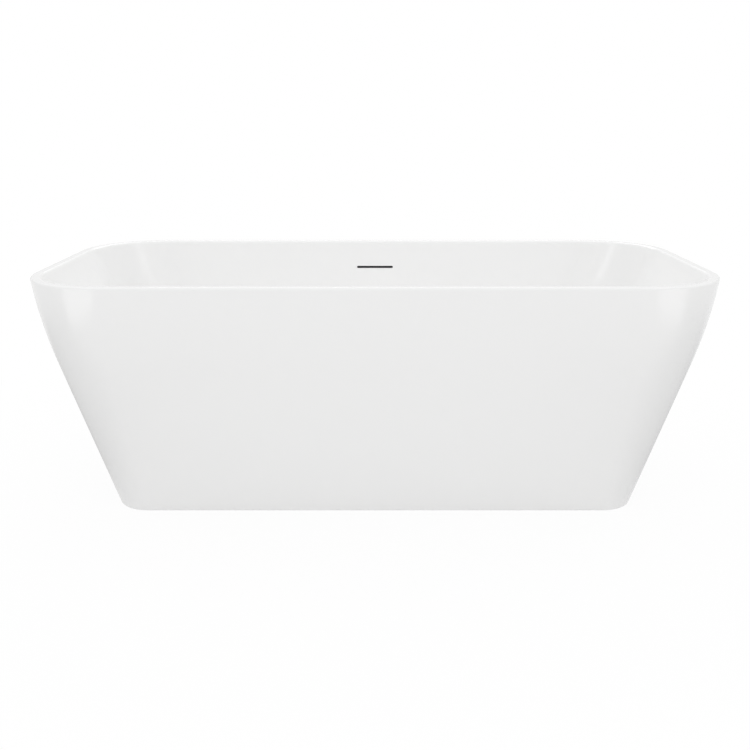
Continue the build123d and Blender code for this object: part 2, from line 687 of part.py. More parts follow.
rail_inner = RAIL_SPACING / 2 - RAIL_WIDTH / 2
for name, side in (("front_straps", -1), ("rear_straps", 1)):
    with BuildPart() as straps:
        for strap_x in (-STRAP_SPACING / 2, STRAP_SPACING / 2):
            with BuildSketch(Plane.YZ.offset(strap_x)):
                with BuildLine():
                    Polyline(
                        (side * rail_inner, RAIL_BOTTOM),
                        (side * batten_face, RAIL_BOTTOM),
                        (side * batten_face, RAIL_BOTTOM - STRAP_DROP),
                        (side * (batten_face - STRAP_THICKNESS), RAIL_BOTTOM - STRAP_DROP),
                        (side * (batten_face - STRAP_THICKNESS), RAIL_BOTTOM - STRAP_THICKNESS),
                        (side * rail_inner, RAIL_BOTTOM - STRAP_THICKNESS),
                        close=True,
                    )
                make_face()
            extrude(amount=STRAP_WIDTH / 2, both=True)
        with BuildSketch(batten_screw_plane(side)):
            with GridLocations(STRAP_SPACING, STRAP_SCREW_PITCH, 2, 2):
                Circle(SCREW_RADIUS + SCREW_PLAY)
        extrude(amount=-STRAP_THICKNESS - CUT_PAST, mode=Mode.SUBTRACT)
    save(straps.part, name)

with BuildPart() as strap_screws:
    for side in (-1, 1):
        head_plane = batten_screw_plane(side).offset(-STRAP_THICKNESS)
        with BuildSketch(head_plane):
            with GridLocations(STRAP_SPACING, STRAP_SCREW_PITCH, 2, 2):
                Circle(SCREW_RADIUS)
        extrude(amount=STRAP_THICKNESS + SCREW_BITE)
        with BuildSketch(head_plane):
            with GridLocations(STRAP_SPACING, STRAP_SCREW_PITCH, 2, 2):
                Circle(SCREW_HEAD_RADIUS)
        extrude(amount=-SCREW_HEAD_HEIGHT)
save(strap_screws.part, "strap_screws")

# Foot plates with their welded nuts, and the lock nuts under them
with BuildPart() as foot_plates:
    with BuildSketch(Plane.XY.offset(FOOT_PLATE_BOTTOM)):
        with GridLocations(FOOT_SPACING, RAIL_SPACING, 2, 2):
            Rectangle(FOOT_PLATE_LENGTH, RAIL_WIDTH)
            Circle(STUD_RADIUS + STUD_PLAY, mode=Mode.SUBTRACT)
    extrude(amount=FOOT_PLATE_THICKNESS)
save(foot_plates.part, "foot_plates")


def foot_nuts(bottom, height):
    """One hexagon nut on each foot's axis."""
    with BuildPart() as nuts:
        with BuildSketch(Plane.XY.offset(bottom)):
            with GridLocations(FOOT_SPACING, RAIL_SPACING, 2, 2):
                RegularPolygon(NUT_FLATS / 2, 6, major_radius=False)
                Circle(STUD_RADIUS + STUD_NUT_PLAY, mode=Mode.SUBTRACT)
        extrude(amount=height)
    return nuts.part


save(foot_nuts(RAIL_BOTTOM, WELD_NUT_HEIGHT), "foot_weld_nuts")
save(foot_nuts(FOOT_PLATE_BOTTOM - LOCK_NUT_HEIGHT, LOCK_NUT_HEIGHT), "foot_lock_nuts")

# Levelling feet: a pad that stays flat on the floor and a stud that turns in it
disc_bottom = PAD_FLOOR + STUD_PLAY
disc_top = disc_bottom + STUD_DISC_THICKNESS
pad_bore = STUD_DISC_RADIUS + STUD_PLAY
pad_throat = STUD_RADIUS + STUD_PLAY
stud_chamfer = STUD_RADIUS / 4
hex_bottom = PAD_HEIGHT + STUD_HEX_GAP
for name, x_side, y_side in (
    ("front_left", -1, -1),
    ("front_right", 1, -1),
    ("rear_left", -1, 1),
    ("rear_right", 1, 1),
):
    foot_x = x_side * FOOT_SPACING / 2
    foot_y = y_side * RAIL_SPACING / 2
    pad = turned(
        [
            (0, 0),
            (PAD_RADIUS, 0),
            (PAD_RADIUS, PAD_EDGE),
            (PAD_NECK_RADIUS, PAD_HEIGHT),
            (pad_throat, PAD_HEIGHT),
            (pad_throat, disc_top + STUD_PLAY),
            (pad_bore, disc_top + STUD_PLAY),
            (pad_bore, PAD_FLOOR),
            (0, PAD_FLOOR),
        ],
        foot_x,
        foot_y,
    )
    save(pad, f"{name}_foot_pad")
    shank = turned(
        [
            (0, disc_bottom),
            (STUD_DISC_RADIUS, disc_bottom),
            (STUD_DISC_RADIUS, disc_top),
            (STUD_RADIUS, disc_top),
            (STUD_RADIUS, STUD_TOP - stud_chamfer),
            (STUD_RADIUS - stud_chamfer, STUD_TOP),
            (0, STUD_TOP),
        ],
        foot_x,
        foot_y,
    )
    with BuildPart() as stud:
        add(shank)
        with BuildSketch(Plane((foot_x, foot_y, hex_bottom))):
            RegularPolygon(STUD_HEX_FLATS / 2, 6, major_radius=False)
        extrude(amount=STUD_HEX_HEIGHT)
    save(stud.part, f"{name}_foot_stud")
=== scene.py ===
# %% [markdown]
# # A freestanding bathtub, dressed in Blender
# The solid model already gives every piece its size and place, in metres and with +Z up. This lesson
# loads that model as a fixed frame and dresses it: smooth acrylic shells, a polished drain, and the
# board, steel and pipes that are hidden underneath.

# %% Load the solid model
import json
import math
import bmesh
import bpy
from mathutils import Matrix, Vector

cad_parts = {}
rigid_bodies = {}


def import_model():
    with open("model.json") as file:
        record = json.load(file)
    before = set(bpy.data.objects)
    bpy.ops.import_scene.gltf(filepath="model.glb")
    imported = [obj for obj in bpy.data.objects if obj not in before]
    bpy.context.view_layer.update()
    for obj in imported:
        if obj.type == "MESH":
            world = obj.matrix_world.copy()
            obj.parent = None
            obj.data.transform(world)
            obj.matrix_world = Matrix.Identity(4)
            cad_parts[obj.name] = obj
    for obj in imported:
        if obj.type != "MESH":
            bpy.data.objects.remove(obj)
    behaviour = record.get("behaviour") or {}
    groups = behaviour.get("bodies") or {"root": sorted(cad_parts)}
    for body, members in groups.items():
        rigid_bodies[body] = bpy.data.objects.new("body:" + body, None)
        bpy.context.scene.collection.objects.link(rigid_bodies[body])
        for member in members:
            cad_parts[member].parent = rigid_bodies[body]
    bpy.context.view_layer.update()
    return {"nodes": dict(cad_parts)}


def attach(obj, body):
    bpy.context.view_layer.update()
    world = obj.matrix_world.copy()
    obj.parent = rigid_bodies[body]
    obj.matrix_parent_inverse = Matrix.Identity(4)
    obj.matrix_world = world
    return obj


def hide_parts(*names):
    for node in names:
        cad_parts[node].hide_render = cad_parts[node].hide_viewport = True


for leftover in list(bpy.data.objects):
    bpy.data.objects.remove(leftover)
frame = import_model()
scene = bpy.context.scene
scene.view_settings.view_transform = "Standard"

# %% [markdown]
# ## Camera
# The picture was taken a little above the rim, square to the long side. The lens and the distance come
# from fitting the rim and the foot of the tub to the picture, so no shift is needed.

# %% Camera
CAMERA_PLACE, LENS, SENSOR, LOOK_DOWN = (0.0, -2.3598, 0.9665), 42.643, 36.0, 0.287
camera_data = bpy.data.cameras.new("studio_camera")
camera_data.lens, camera_data.sensor_width = LENS, SENSOR
camera_data.clip_end = 100.0
camera = bpy.data.objects.new("studio_camera", camera_data)
camera.location = CAMERA_PLACE
camera.rotation_euler = (math.pi / 2 - LOOK_DOWN, 0.0, 0.0)
scene.collection.objects.link(camera)
scene.camera = camera
print("camera at", CAMERA_PLACE, "lens", LENS)

# %% [markdown]
# ## Studio
# A white tub on a white ground shows its form only by small steps of tone. Strong lamps would wash these
# out, so most of the light is an even white room, which the world gives. To the camera and to glass the
# world is plain white. Mirrors see it a little darker, so that the glossy rim keeps its tone.

# %% World
WORLD_LIGHT, WORLD_MIRROR = 0.91, 0.75


def add_node(tree, kind, inputs=(), **settings):
    """New node with its settings, and with inputs by name or number, each a socket or a value."""
    node = tree.nodes.new(kind)
    for setting, value in settings.items():
        setattr(node, setting, value)
    for key, value in dict(inputs).items():
        if isinstance(value, bpy.types.NodeSocket):
            tree.links.new(value, node.inputs[key])
        else:
            node.inputs[key].default_value = value
    return node


def add_math(tree, operation, *values):
    """Math node on one or two values."""
    return add_node(tree, "ShaderNodeMath", enumerate(values), operation=operation).outputs[0]


world = bpy.data.worlds.new("studio_world")
scene.world = world
world.use_nodes = True
room = world.node_tree
room.nodes.clear()
rays = add_node(room, "ShaderNodeLightPath").outputs
seen = add_math(room, "MAXIMUM", rays["Is Camera Ray"], rays["Is Transmission Ray"])
to_camera = add_math(room, "MULTIPLY", seen, 1.0 - WORLD_LIGHT)
to_mirror = add_math(room, "MULTIPLY", rays["Is Glossy Ray"], WORLD_MIRROR - WORLD_LIGHT)
strength = add_math(room, "ADD", add_math(room, "ADD", to_camera, to_mirror), WORLD_LIGHT)
white = add_node(room, "ShaderNodeBackground", {"Color": (1.0, 1.0, 1.0, 1.0), "Strength": strength})
add_node(room, "ShaderNodeOutputWorld", {"Surface": white.outputs[0]})
print("world lights with", WORLD_LIGHT, "and shows in mirrors as", WORLD_MIRROR)

# %% [markdown]
# Softboxes add the steps of tone: one high behind the tub for its near rim, one overhead, a weak one in
# front, and one at each front corner, which draws a light stripe in the corners of the well. A low card
# near each front corner shows in reflections only, as a light spot high on the skirt's corners.

# %% Lamps
LAMPS_FACE = Vector((0.0, 0.0, 0.4))


def softbox(name, place, size, power):
    """Rectangular area lamp at a place, turned towards the middle of the tub."""
    data = bpy.data.lights.new(name, "AREA")
    data.shape = "RECTANGLE"
    data.size, data.size_y = size
    data.energy = power
    lamp = bpy.data.objects.new(name, data)
    lamp.location = place
    lamp.rotation_euler = (LAMPS_FACE - Vector(place)).to_track_quat("-Z", "Y").to_euler()
    scene.collection.objects.link(lamp)
    return lamp


softbox("back_softbox", (0.0, 2.8, 2.6), (3.0, 1.2), 20.0)
softbox("overhead_softbox", (0.0, 0.0, 3.2), (3.4, 2.4), 4.8)
softbox("front_softbox", (0.0, -3.0, 2.8), (3.0, 1.2), 1.5)
for side, label in ((-1, "left"), (1, "right")):
    softbox(f"{label}_softbox", (2.2 * side, -2.4, 2.8), (0.8, 1.4), 6.0)
    gloss_card = softbox(f"{label}_gloss_card", (1.44 * side, -1.23, 0.18), (0.95, 0.34), 1.4)
    gloss_card.visible_diffuse = gloss_card.visible_camera = False

# %% [markdown]
# ## Floor
# The floor is pale and matt. To the camera it is nearly plain white, so that it runs into the background
# with no horizon, and close to the tub a little of its own tone is left, which keeps the shadow. Beyond
# the two ends it acts as if grey cards lay there: the light that bounces off is weaker, and the tub's
# ends stand out against the white.

# %% Floor
FLOOR_HALF, FLOOR_DROP = 12.0, 0.0004


def move_body(bm, step):
    """Moves a whole bmesh."""
    bmesh.ops.translate(bm, verts=bm.verts, vec=step)


def object_from(name, bm):
    """Object in the scene with a finished bmesh as its mesh."""
    mesh = bpy.data.meshes.new(name)
    bm.to_mesh(mesh)
    bm.free()
    piece = bpy.data.objects.new(name, mesh)
    scene.collection.objects.link(piece)
    return piece


floor_bm = bmesh.new()
bmesh.ops.create_grid(floor_bm, x_segments=1, y_segments=1, size=FLOOR_HALF)
move_body(floor_bm, (0.0, 0.0, -FLOOR_DROP))
studio_floor = object_from("studio_floor", floor_bm)
print("floor spans", studio_floor.dimensions[0], "m")

# %% Floor's matt tone
FLOOR_PALE, FLOOR_CARD = 0.88, 0.56
CARD_START, CARD_STOP, CARD_SIDE, CARD_MIDDLE = (0.62, 0.85), (1.9, 2.4), (0.6, 0.9), -0.1


def add_range(tree, value, low, high, to_low=0.0, to_high=1.0):
    """Map Range node from one span of values to another, clamped."""
    return add_node(tree, "ShaderNodeMapRange", enumerate((value, low, high, to_low, to_high))).outputs[0]


floor_paint = bpy.data.materials.new("floor_paint")
floor_paint.use_nodes = True
paint = floor_paint.node_tree
paint.nodes.clear()
rays = add_node(paint, "ShaderNodeLightPath").outputs
place = add_node(paint, "ShaderNodeTexCoord").outputs["Object"]
split = add_node(paint, "ShaderNodeSeparateXYZ", {0: place}).outputs
along = add_math(paint, "ABSOLUTE", split["X"])
across = add_math(paint, "ABSOLUTE", add_math(paint, "SUBTRACT", split["Y"], CARD_MIDDLE))
near_end = add_range(paint, along, *CARD_START)
far_end = add_range(paint, along, *CARD_STOP, 1.0, 0.0)
beside = add_range(paint, across, *CARD_SIDE, 1.0, 0.0)
cards = add_math(paint, "MULTIPLY", add_math(paint, "MULTIPLY", near_end, far_end), beside)
bounced = add_math(paint, "SUBTRACT", 1.0, rays["Is Camera Ray"])
tone = add_range(paint, add_math(paint, "MULTIPLY", cards, bounced), 0.0, 1.0, FLOOR_PALE, FLOOR_CARD)
matt = add_node(paint, "ShaderNodeBsdfDiffuse", {"Color": tone})
print("floor tone", FLOOR_PALE, "and", FLOOR_CARD, "beyond the ends")

# %% Floor as the camera and mirrors see it
SHADOW_REACH, SHADOW_PLAIN, CARD_GLOW = (0.6, 1.6), 0.93, 0.6
reach = add_node(paint, "ShaderNodeVectorMath", {0: place}, operation="LENGTH").outputs["Value"]
plain = add_range(paint, reach, *SHADOW_REACH, SHADOW_PLAIN, 1.0)
plain_share = add_math(paint, "MULTIPLY", rays["Is Camera Ray"], plain)
mirrored = add_math(paint, "MAXIMUM", rays["Is Glossy Ray"], rays["Is Transmission Ray"])
mirrored_cards = add_math(paint, "MULTIPLY", cards, rays["Is Glossy Ray"])
brightness = add_range(paint, mirrored_cards, 0.0, 1.0, 1.0, CARD_GLOW)
glow = add_node(paint, "ShaderNodeEmission", {"Strength": brightness})
glow_share = add_math(paint, "MAXIMUM", plain_share, mirrored)
blend = add_node(paint, "ShaderNodeMixShader", {0: glow_share, 1: matt.outputs[0], 2: glow.outputs[0]})
add_node(paint, "ShaderNodeOutputMaterial", {"Surface": blend.outputs[0]})
studio_floor.data.materials.append(floor_paint)
print("floor paint has", len(paint.nodes), "nodes")

# %% [markdown]
# ## Finishes: shared effects
# Real surfaces are never one even value. Two effects come back in most finishes, so each is a node
# group: marks of handling, which change the gloss in soft patches, and a fine grain, which lifts the
# surface by a hair. Each material gives them its own scale.


# %% Node groups
def new_group(name, output):
    """Empty shader group that reads a position at a scale, with its inner ends."""
    tree = bpy.data.node_groups.new(name, "ShaderNodeTree")
    ends = (("Position", "INPUT", "Vector"), ("Scale", "INPUT", "Float"), (output, "OUTPUT", "Float"))
    for socket, in_out, kind in ends:
        tree.interface.new_socket(name=socket, in_out=in_out, socket_type=f"NodeSocket{kind}")
    return tree, tree.nodes.new("NodeGroupInput").outputs, tree.nodes.new("NodeGroupOutput").inputs


def add_noise(tree, position, scale, detail, stretch=None):
    """Noise texture in a tree, read at a position that may be stretched first."""
    if stretch is not None:
        position = add_node(tree, "ShaderNodeMapping", {"Vector": position, "Scale": stretch}).outputs[0]
    inputs = {"Vector": position, "Scale": scale, "Detail": detail}
    return add_node(tree, "ShaderNodeTexNoise", inputs).outputs["Fac"]


marks, marks_in, marks_out = new_group("handling_marks", "Smudge")
smudge = add_noise(marks, marks_in["Position"], marks_in["Scale"], 4.0)
marks.links.new(add_range(marks, smudge, 0.42, 0.68), marks_out["Smudge"])

grain, grain_in, grain_out = new_group("fine_grain", "Height")
fine = add_noise(grain, grain_in["Position"], grain_in["Scale"], 2.0)
grain.links.new(fine, grain_out["Height"])
print("groups", [g.name for g in bpy.data.node_groups])

# %% [markdown]
# Every finish starts from the same bench: a Principled shader, Object coordinates and the marks of
# handling, with short ways to add noise, a tint and a bump. What changes from finish to finish is the
# colour, the span of roughness and the pattern.


# %% Bench for a finish
class Finish:
    """A new material with its shader, its object coordinates and the shared groups at hand."""

    def __init__(self, name, color, roughness, metallic=0.0, mark_scale=6.0):
        self.material = bpy.data.materials.new(name)
        self.material.use_nodes = True
        self.material.diffuse_color = (*color, 1.0)
        self.tree = self.material.node_tree
        self.shader = self.tree.nodes["Principled BSDF"]
        self.shader.inputs["Base Color"].default_value = (*color, 1.0)
        self.shader.inputs["Metallic"].default_value = metallic
        self.position = add_node(self.tree, "ShaderNodeTexCoord").outputs["Object"]
        self.smudge = self.group(marks, mark_scale)["Smudge"]
        self.feed("Roughness", add_range(self.tree, self.smudge, 0.0, 1.0, *roughness))

    def feed(self, socket, value):
        """Links a value to one of the shader's inputs."""
        self.tree.links.new(value, self.shader.inputs[socket])

    def group(self, tree, scale):
        """Outputs of a shared group that reads this piece at a scale."""
        inputs = {"Position": self.position, "Scale": scale}
        return add_node(self.tree, "ShaderNodeGroup", inputs, node_tree=tree).outputs

    def noise(self, scale, detail, stretch=None):
        """Noise over this piece."""
        return add_noise(self.tree, self.position, scale, detail, stretch)

    def tint(self, factor, first, second):
        """Base colour that goes from one colour to another with a mask."""
        inputs = {0: factor, 6: (*first, 1.0), 7: (*second, 1.0)}
        self.feed("Base Color", add_node(self.tree, "ShaderNodeMix", inputs, data_type="RGBA").outputs[2])

    def bump(self, height, depth):
        """Bump from a height, with its depth in metres."""
        inputs = {"Strength": 1.0, "Distance": depth, "Height": height}
        self.feed("Normal", add_node(self.tree, "ShaderNodeBump", inputs).outputs[0])


# %% [markdown]
# ## White acrylic and its backing
# The tub is two acrylic sheets, drawn over moulds while hot. The seen face is glossy and very even: only
# its gloss changes a little, and there is a slow ripple that the mould leaves. The hidden face is
# stiffened with chopped glass fibre in resin, so it is dull, greyish and full of short strands.

# %% Acrylic and backing
acrylic = Finish("white_acrylic", (0.9, 0.9, 0.897), (0.17, 0.26), mark_scale=2.2)
acrylic.shader.inputs["IOR"].default_value = 1.49
acrylic.tint(acrylic.noise(1.3, 2.0), (0.893, 0.893, 0.89), (0.907, 0.907, 0.905))
acrylic.bump(acrylic.noise(7.0, 1.0), 0.0004)

backing = Finish("fibre_backing", (0.62, 0.63, 0.58), (0.42, 0.62), mark_scale=14.0)
strands = backing.noise(160.0, 2.0, (0.3, 1.6, 0.9))
cross_strands = backing.noise(160.0, 2.0, (1.6, 0.5, 0.35))
weave = add_math(backing.tree, "MAXIMUM", strands, cross_strands)
strand_mask = add_range(backing.tree, weave, 0.5, 0.68)
backing.tint(strand_mask, (0.5, 0.51, 0.45), (0.74, 0.75, 0.7))
backing.bump(strand_mask, 0.0009)
print("finishes", acrylic.material.name, backing.material.name)

# %% [markdown]
# ## The two walls as plans
# Both walls are rounded rectangles that grow towards the rim. They lean straight for most of the height
# and then turn more upright, and the corner radius grows with them. The same few numbers that shaped
# the solid model give the outline at any height here.

# %% Plans of the walls
TOP = 0.590
RIM, RIM_FLAT, RIM_EDGE = (1.676, 0.787, 0.208), 0.024, 0.006
FOOT, SKIRT_BEND, SKIRT_TURN, SKIRT_WALL = (1.325, 0.595, 0.086), 0.380, 0.44, 0.005
WELL, WELL_BEND, WELL_TURN, BASIN_WALL = (1.140, 0.440, 0.150), 0.410, 0.45, 0.0055
FLOOR, FLOOR_BACK = 0.140, 0.132


def lean_share(rise, straight, rim_slope):
    """Share of the whole lean that a wall has at a share of its height."""
    runs = []
    for share in (rise, 1.0):
        bend = max(0.0, share - straight)
        runs.append(share - (1 - rim_slope) * bend**2 / (2 * (1 - straight)))
    return runs[0] / runs[1]


def skirt_plan(height, inset=0.0):
    """Length, width and corner radius of the skirt's face at a height."""
    rise = height / TOP
    share = lean_share(rise, SKIRT_BEND / TOP, SKIRT_TURN)
    length, width = (FOOT[i] + (RIM[i] - FOOT[i]) * share - 2 * inset for i in (0, 1))
    return length, width, FOOT[2] + (RIM[2] - FOOT[2]) * rise - inset


def well_plan(height, inset=0.0):
    """Length, width and corner radius of the well's face at a height."""
    rise = (height - FLOOR) / (TOP - FLOOR)
    share = lean_share(rise, (WELL_BEND - FLOOR) / (TOP - FLOOR), WELL_TURN)
    length, width = (WELL[i] + (RIM[i] - 2 * RIM_FLAT - WELL[i]) * share - 2 * inset for i in (0, 1))
    return length, width, WELL[2] + (RIM[2] - RIM_FLAT - WELL[2]) * rise - inset


print("skirt at the foot", skirt_plan(0.0), "well at the floor", well_plan(FLOOR))


# %% [markdown]
# Where a wall meets the floor or the rim there is a round. A ball of the round's radius that touches both
# the flat and the leaning wall gives its outline, and the ends and the sides lean by different amounts,
# so each is worked out by itself.

# %% Rounds between a flat and a leaning wall
NUDGE = 0.005


def rounded_plan(plan, flat, radius, turn, out):
    """Outline where a flat at a height runs into a leaning wall, at an angle round the ball.

    turn is the ball's angle from the flat in radians, and out is 1 where the wall stands outside
    the ball and -1 where the ball is inside the wall's edge."""
    side = 1 if flat < TOP / 2 else -1
    middle = flat + side * radius
    height = middle - side * radius * math.cos(turn)
    size = []
    for i in (0, 1):
        half = plan(middle)[i] / 2
        lean = (plan(middle + NUDGE)[i] - plan(middle - NUDGE)[i]) / (4 * NUDGE)
        ball = half - out * radius * math.hypot(1, lean)
        touch = middle - out * radius * lean / math.hypot(1, lean)
        past = (height - touch) * side > 0
        reach = out * math.sqrt(max(0.0, radius**2 - (height - middle) ** 2))
        size.append(plan(height)[i] / 2 if past else ball + reach)
    full = plan(height)
    drawn_in = (full[0] + full[1]) / 4 - (size[0] + size[1]) / 2
    return 2 * size[0], 2 * size[1], full[2] - drawn_in, height


print("floor's edge inside the well", [round(n, 4) for n in rounded_plan(well_plan, FLOOR, 0.08, 0.0, 1)])

# %% [markdown]
# ## Walking a ring
# A shell like this could be lofted or sculpted, but the plainest way is to walk a ring: start with one
# rounded rectangle, extrude its edge, and move each corner of the new ring to where the next outline has
# it. The ring goes over the rim, down the well, across the floor and back up behind, and closes on
# itself.

# %% Ring tools
CORNER_STEPS, RING_WELD = 24, 6e-5
SQUARE = ((-1, -1), (1, -1), (1, 1), (-1, 1))


def points_of(made):
    """The points among what an operator made."""
    return [g for g in made if isinstance(g, bmesh.types.BMVert)]


def free_edges(made, points):
    """The edges between the new points of an extrusion, from which the next one starts."""
    kept = set(points)
    return [g for g in made if isinstance(g, bmesh.types.BMEdge) and kept.issuperset(g.verts)]


def face_out(bm):
    """Turns the faces of a bmesh the same way, outward where it is closed."""
    bmesh.ops.recalc_face_normals(bm, faces=bm.faces)


def rounded_face(bm, corners, radius, steps):
    """Face through a few corners, which are then rounded."""
    points = [bm.verts.new(corner) for corner in corners]
    bm.faces.new(points)
    bmesh.ops.bevel(
        bm, geom=points, offset=radius, segments=steps, profile=0.5, affect="VERTICES", material=-1
    )


def first_ring(bm, outline):
    """Rounded rectangle of edges at an outline."""
    length, width, corner, height = outline
    rounded_face(bm, [(x * length / 2, y * width / 2, height) for x, y in SQUARE], corner, CORNER_STEPS)
    bmesh.ops.delete(bm, geom=bm.faces[:], context="FACES_ONLY")
    return bm.edges[:]


def next_ring(bm, edges, old, new, finish):
    """Extrudes a ring and moves each of its corners from the old outline to the new one."""
    made = bmesh.ops.extrude_edge_only(bm, edges=edges)["geom"]
    points = points_of(made)
    for face in (g for g in made if isinstance(g, bmesh.types.BMFace)):
        face.material_index = finish
    growth = new[2] / old[2]
    for x, y in SQUARE:
        corner = [p for p in points if p.co.x * x > 0 and p.co.y * y > 0]
        was = Vector((x * (old[0] / 2 - old[2]), y * (old[1] / 2 - old[2]), old[3]))
        now = Vector((x * (new[0] / 2 - new[2]), y * (new[1] / 2 - new[2]), new[3]))
        bmesh.ops.scale(bm, verts=corner, vec=(growth, growth, 1.0), space=Matrix.Translation(-was))
        bmesh.ops.translate(bm, verts=corner, vec=now - was)
    return free_edges(made, points)


def walk(outlines, finishes):
    """Closed shell through a list of outlines, with a finish number for each step."""
    bm = bmesh.new()
    edges = first_ring(bm, outlines[0])
    for old, new, finish in zip(outlines, outlines[1:], finishes):
        edges = next_ring(bm, edges, old, new, finish)
    bmesh.ops.remove_doubles(bm, verts=bm.verts, dist=RING_WELD)
    face_out(bm)
    print("walked", len(outlines), "rings")
    return bm


# %% [markdown]
# A finished mesh is shaded smooth, except where two faces meet at a clear angle. It then becomes an
# object that rides on its body and takes the place of the plain solid.


# %% Shading and setting in place
def shade(bm, angle):
    """Smooth shading with sharp edges where two faces meet at more than an angle in degrees."""
    for face in bm.faces:
        face.smooth = True
    for edge in bm.edges:
        edge.smooth = edge.calc_face_angle(0.0) < math.radians(angle)


def set_in_place(name, bm, finishes, body, slot, *nodes, sharp=35):
    """Object from a finished bmesh, riding on a body in place of the solid nodes."""
    shade(bm, sharp)
    piece = object_from(name, bm)
    for finish in finishes:
        piece.data.materials.append(finish.material)
    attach(piece, body)
    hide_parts(*nodes)
    print("made", name, "with", len(piece.data.polygons), "faces")
    return piece


# %% [markdown]
# ## Outer skirt
# The skirt is what the picture shows most of: one leaning wall from the floor to the rim, with an inward
# flange at the top that the rim is bonded to. Its foot is trimmed, so its edge is only broken by a
# millimetre.

# %% Outer skirt
FLANGE_REACH, FLANGE_THICK, FOOT_BREAK = RIM_FLAT - BASIN_WALL - 0.0015, 0.006, 0.0012
BEND_STEPS = 14
skirt_top = TOP - RIM_EDGE
flange_low = skirt_top - FLANGE_THICK
skirt_levels = [FOOT_BREAK, 0.02, 0.06, 0.12, 0.19, 0.26, 0.32, 0.36, SKIRT_BEND]
skirt_levels += [
    SKIRT_BEND + (skirt_top - SKIRT_BEND) * i / BEND_STEPS for i in range(1, BEND_STEPS + 1)
]
skirt_path = [(*skirt_plan(0.0, FOOT_BREAK), 0.0)]
skirt_path += [(*skirt_plan(level), level) for level in skirt_levels]
seen_steps = len(skirt_path)
skirt_path += [(*skirt_plan(skirt_top, FLANGE_REACH), level) for level in (skirt_top, flange_low)]
skirt_path += [(*skirt_plan(flange_low, SKIRT_WALL), flange_low)]
skirt_path += [(*skirt_plan(level, SKIRT_WALL), level) for level in reversed(skirt_levels[:-1])]
skirt_path += [(*skirt_plan(0.0, SKIRT_WALL - FOOT_BREAK), 0.0), skirt_path[0]]
hidden_steps = len(skirt_path) - seen_steps - 2
skirt_bm = walk(skirt_path, [0] * seen_steps + [1] * hidden_steps + [0])
skirt = set_in_place("skirt_shell", skirt_bm, [acrylic, backing], "tub", "acrylic", "outer_skirt")

# %% [markdown]
# ## Inner basin
# The basin is the second sheet: a thin flat rim, a well whose walls run into the floor in a wide round,
# a shallow recess for the drain, and the hidden back. The ring walk covers all of it. Two of its rings
# pass just above and below the overflow slot, so that the cut later stays in one narrow band.

# %% Outlines of the basin
SLOT_LENGTH, SLOT_HEIGHT, SLOT_LEVEL = 0.110, 0.0065, 0.512
RECESS, RECESS_FLOOR, HOLE, HAIR = 0.039, 0.1375, 0.024, 4e-5
RIM_ROUND, LIP_ROUND, FLOOR_ROUND, BACK_ROUND = 0.0045, 0.008, 0.08, 0.0855


def round_plan(radius, height):
    """Outline of a circle: all corner, with a hair of straight side so that no two points meet."""
    return 2 * radius + HAIR, 2 * radius + HAIR, radius, height


def back_plan(height):
    """Outline of the well's hidden back at a height."""
    return well_plan(height, -BASIN_WALL)


def radians_of(*degrees):
    """List of angles in radians."""
    return [math.radians(angle) for angle in degrees]


outer_turns = radians_of(100, 85, 65, 45, 25, 10, 0)
rim_turns = radians_of(0, 15, 30, 45, 60, 75)
floor_turns = radians_of(0, 9, 18, 27, 36, 45, 54, 62, 70)
levels = [0.560, 0.548, 0.535, 0.522, 0.502, 0.490, 0.476, 0.462, 0.448, 0.434, 0.422, WELL_BEND]
levels += [0.36, 0.29, 0.22]
drain_steps = [
    (RECESS + 0.003, FLOOR), (RECESS + 0.0008, FLOOR), (RECESS, FLOOR - 0.0008),
    (RECESS, RECESS_FLOOR + 0.0005), (RECESS - 0.0005, RECESS_FLOOR), (HOLE, RECESS_FLOOR),
    (HOLE, FLOOR_BACK),
]
print("basin has", len(levels), "levels between its rounds")

# %% Inner basin
basin_path = [(*skirt_plan(skirt_top), skirt_top)]
basin_path += [rounded_plan(skirt_plan, TOP, RIM_ROUND, turn, 1) for turn in outer_turns]
basin_path += [rounded_plan(well_plan, TOP, LIP_ROUND, turn, -1) for turn in rim_turns]
basin_path += [(*well_plan(level), level) for level in [0.576] + levels]
basin_path += [rounded_plan(well_plan, FLOOR, FLOOR_ROUND, turn, 1) for turn in reversed(floor_turns)]
length, width, corner = basin_path[-1][:3]
basin_path += [(length - 0.02, width - 0.02, corner - 0.01, FLOOR)]
basin_path += [round_plan(radius, height) for radius, height in drain_steps]
seen_steps = len(basin_path) - 1
basin_path += [rounded_plan(back_plan, FLOOR_BACK, BACK_ROUND, turn, 1) for turn in floor_turns]
basin_path += [(*back_plan(level), level) for level in reversed(levels)]
basin_path += [(*back_plan(skirt_top), skirt_top), basin_path[0]]
basin_bm = walk(basin_path, [0] * seen_steps + [1] * (len(basin_path) - seen_steps))

# %% [markdown]
# The overflow is a slot with round ends. The band around it is first parted at both sides, then a cutter
# of the slot's shape is taken away, and the sharp edge that the cut leaves is rounded like a buffed
# saw cut.

# %% Band around the slot
BAND_HALF, BAND_SIDE, BEHIND = 0.012, 0.07, 0.3
for side in (-1, 1):
    band = [
        f for f in basin_bm.faces
        if f.calc_center_median().y > BEHIND and abs(f.calc_center_median().z - SLOT_LEVEL) < BAND_HALF
    ]
    parts = set(band) | {e for f in band for e in f.edges} | {v for f in band for v in f.verts}
    bmesh.ops.bisect_plane(
        basin_bm, geom=list(parts), plane_co=(side * BAND_SIDE, 0, 0), plane_no=(1, 0, 0)
    )
basin = set_in_place("basin_shell", basin_bm, [acrylic, backing], "tub", "acrylic", "inner_basin")


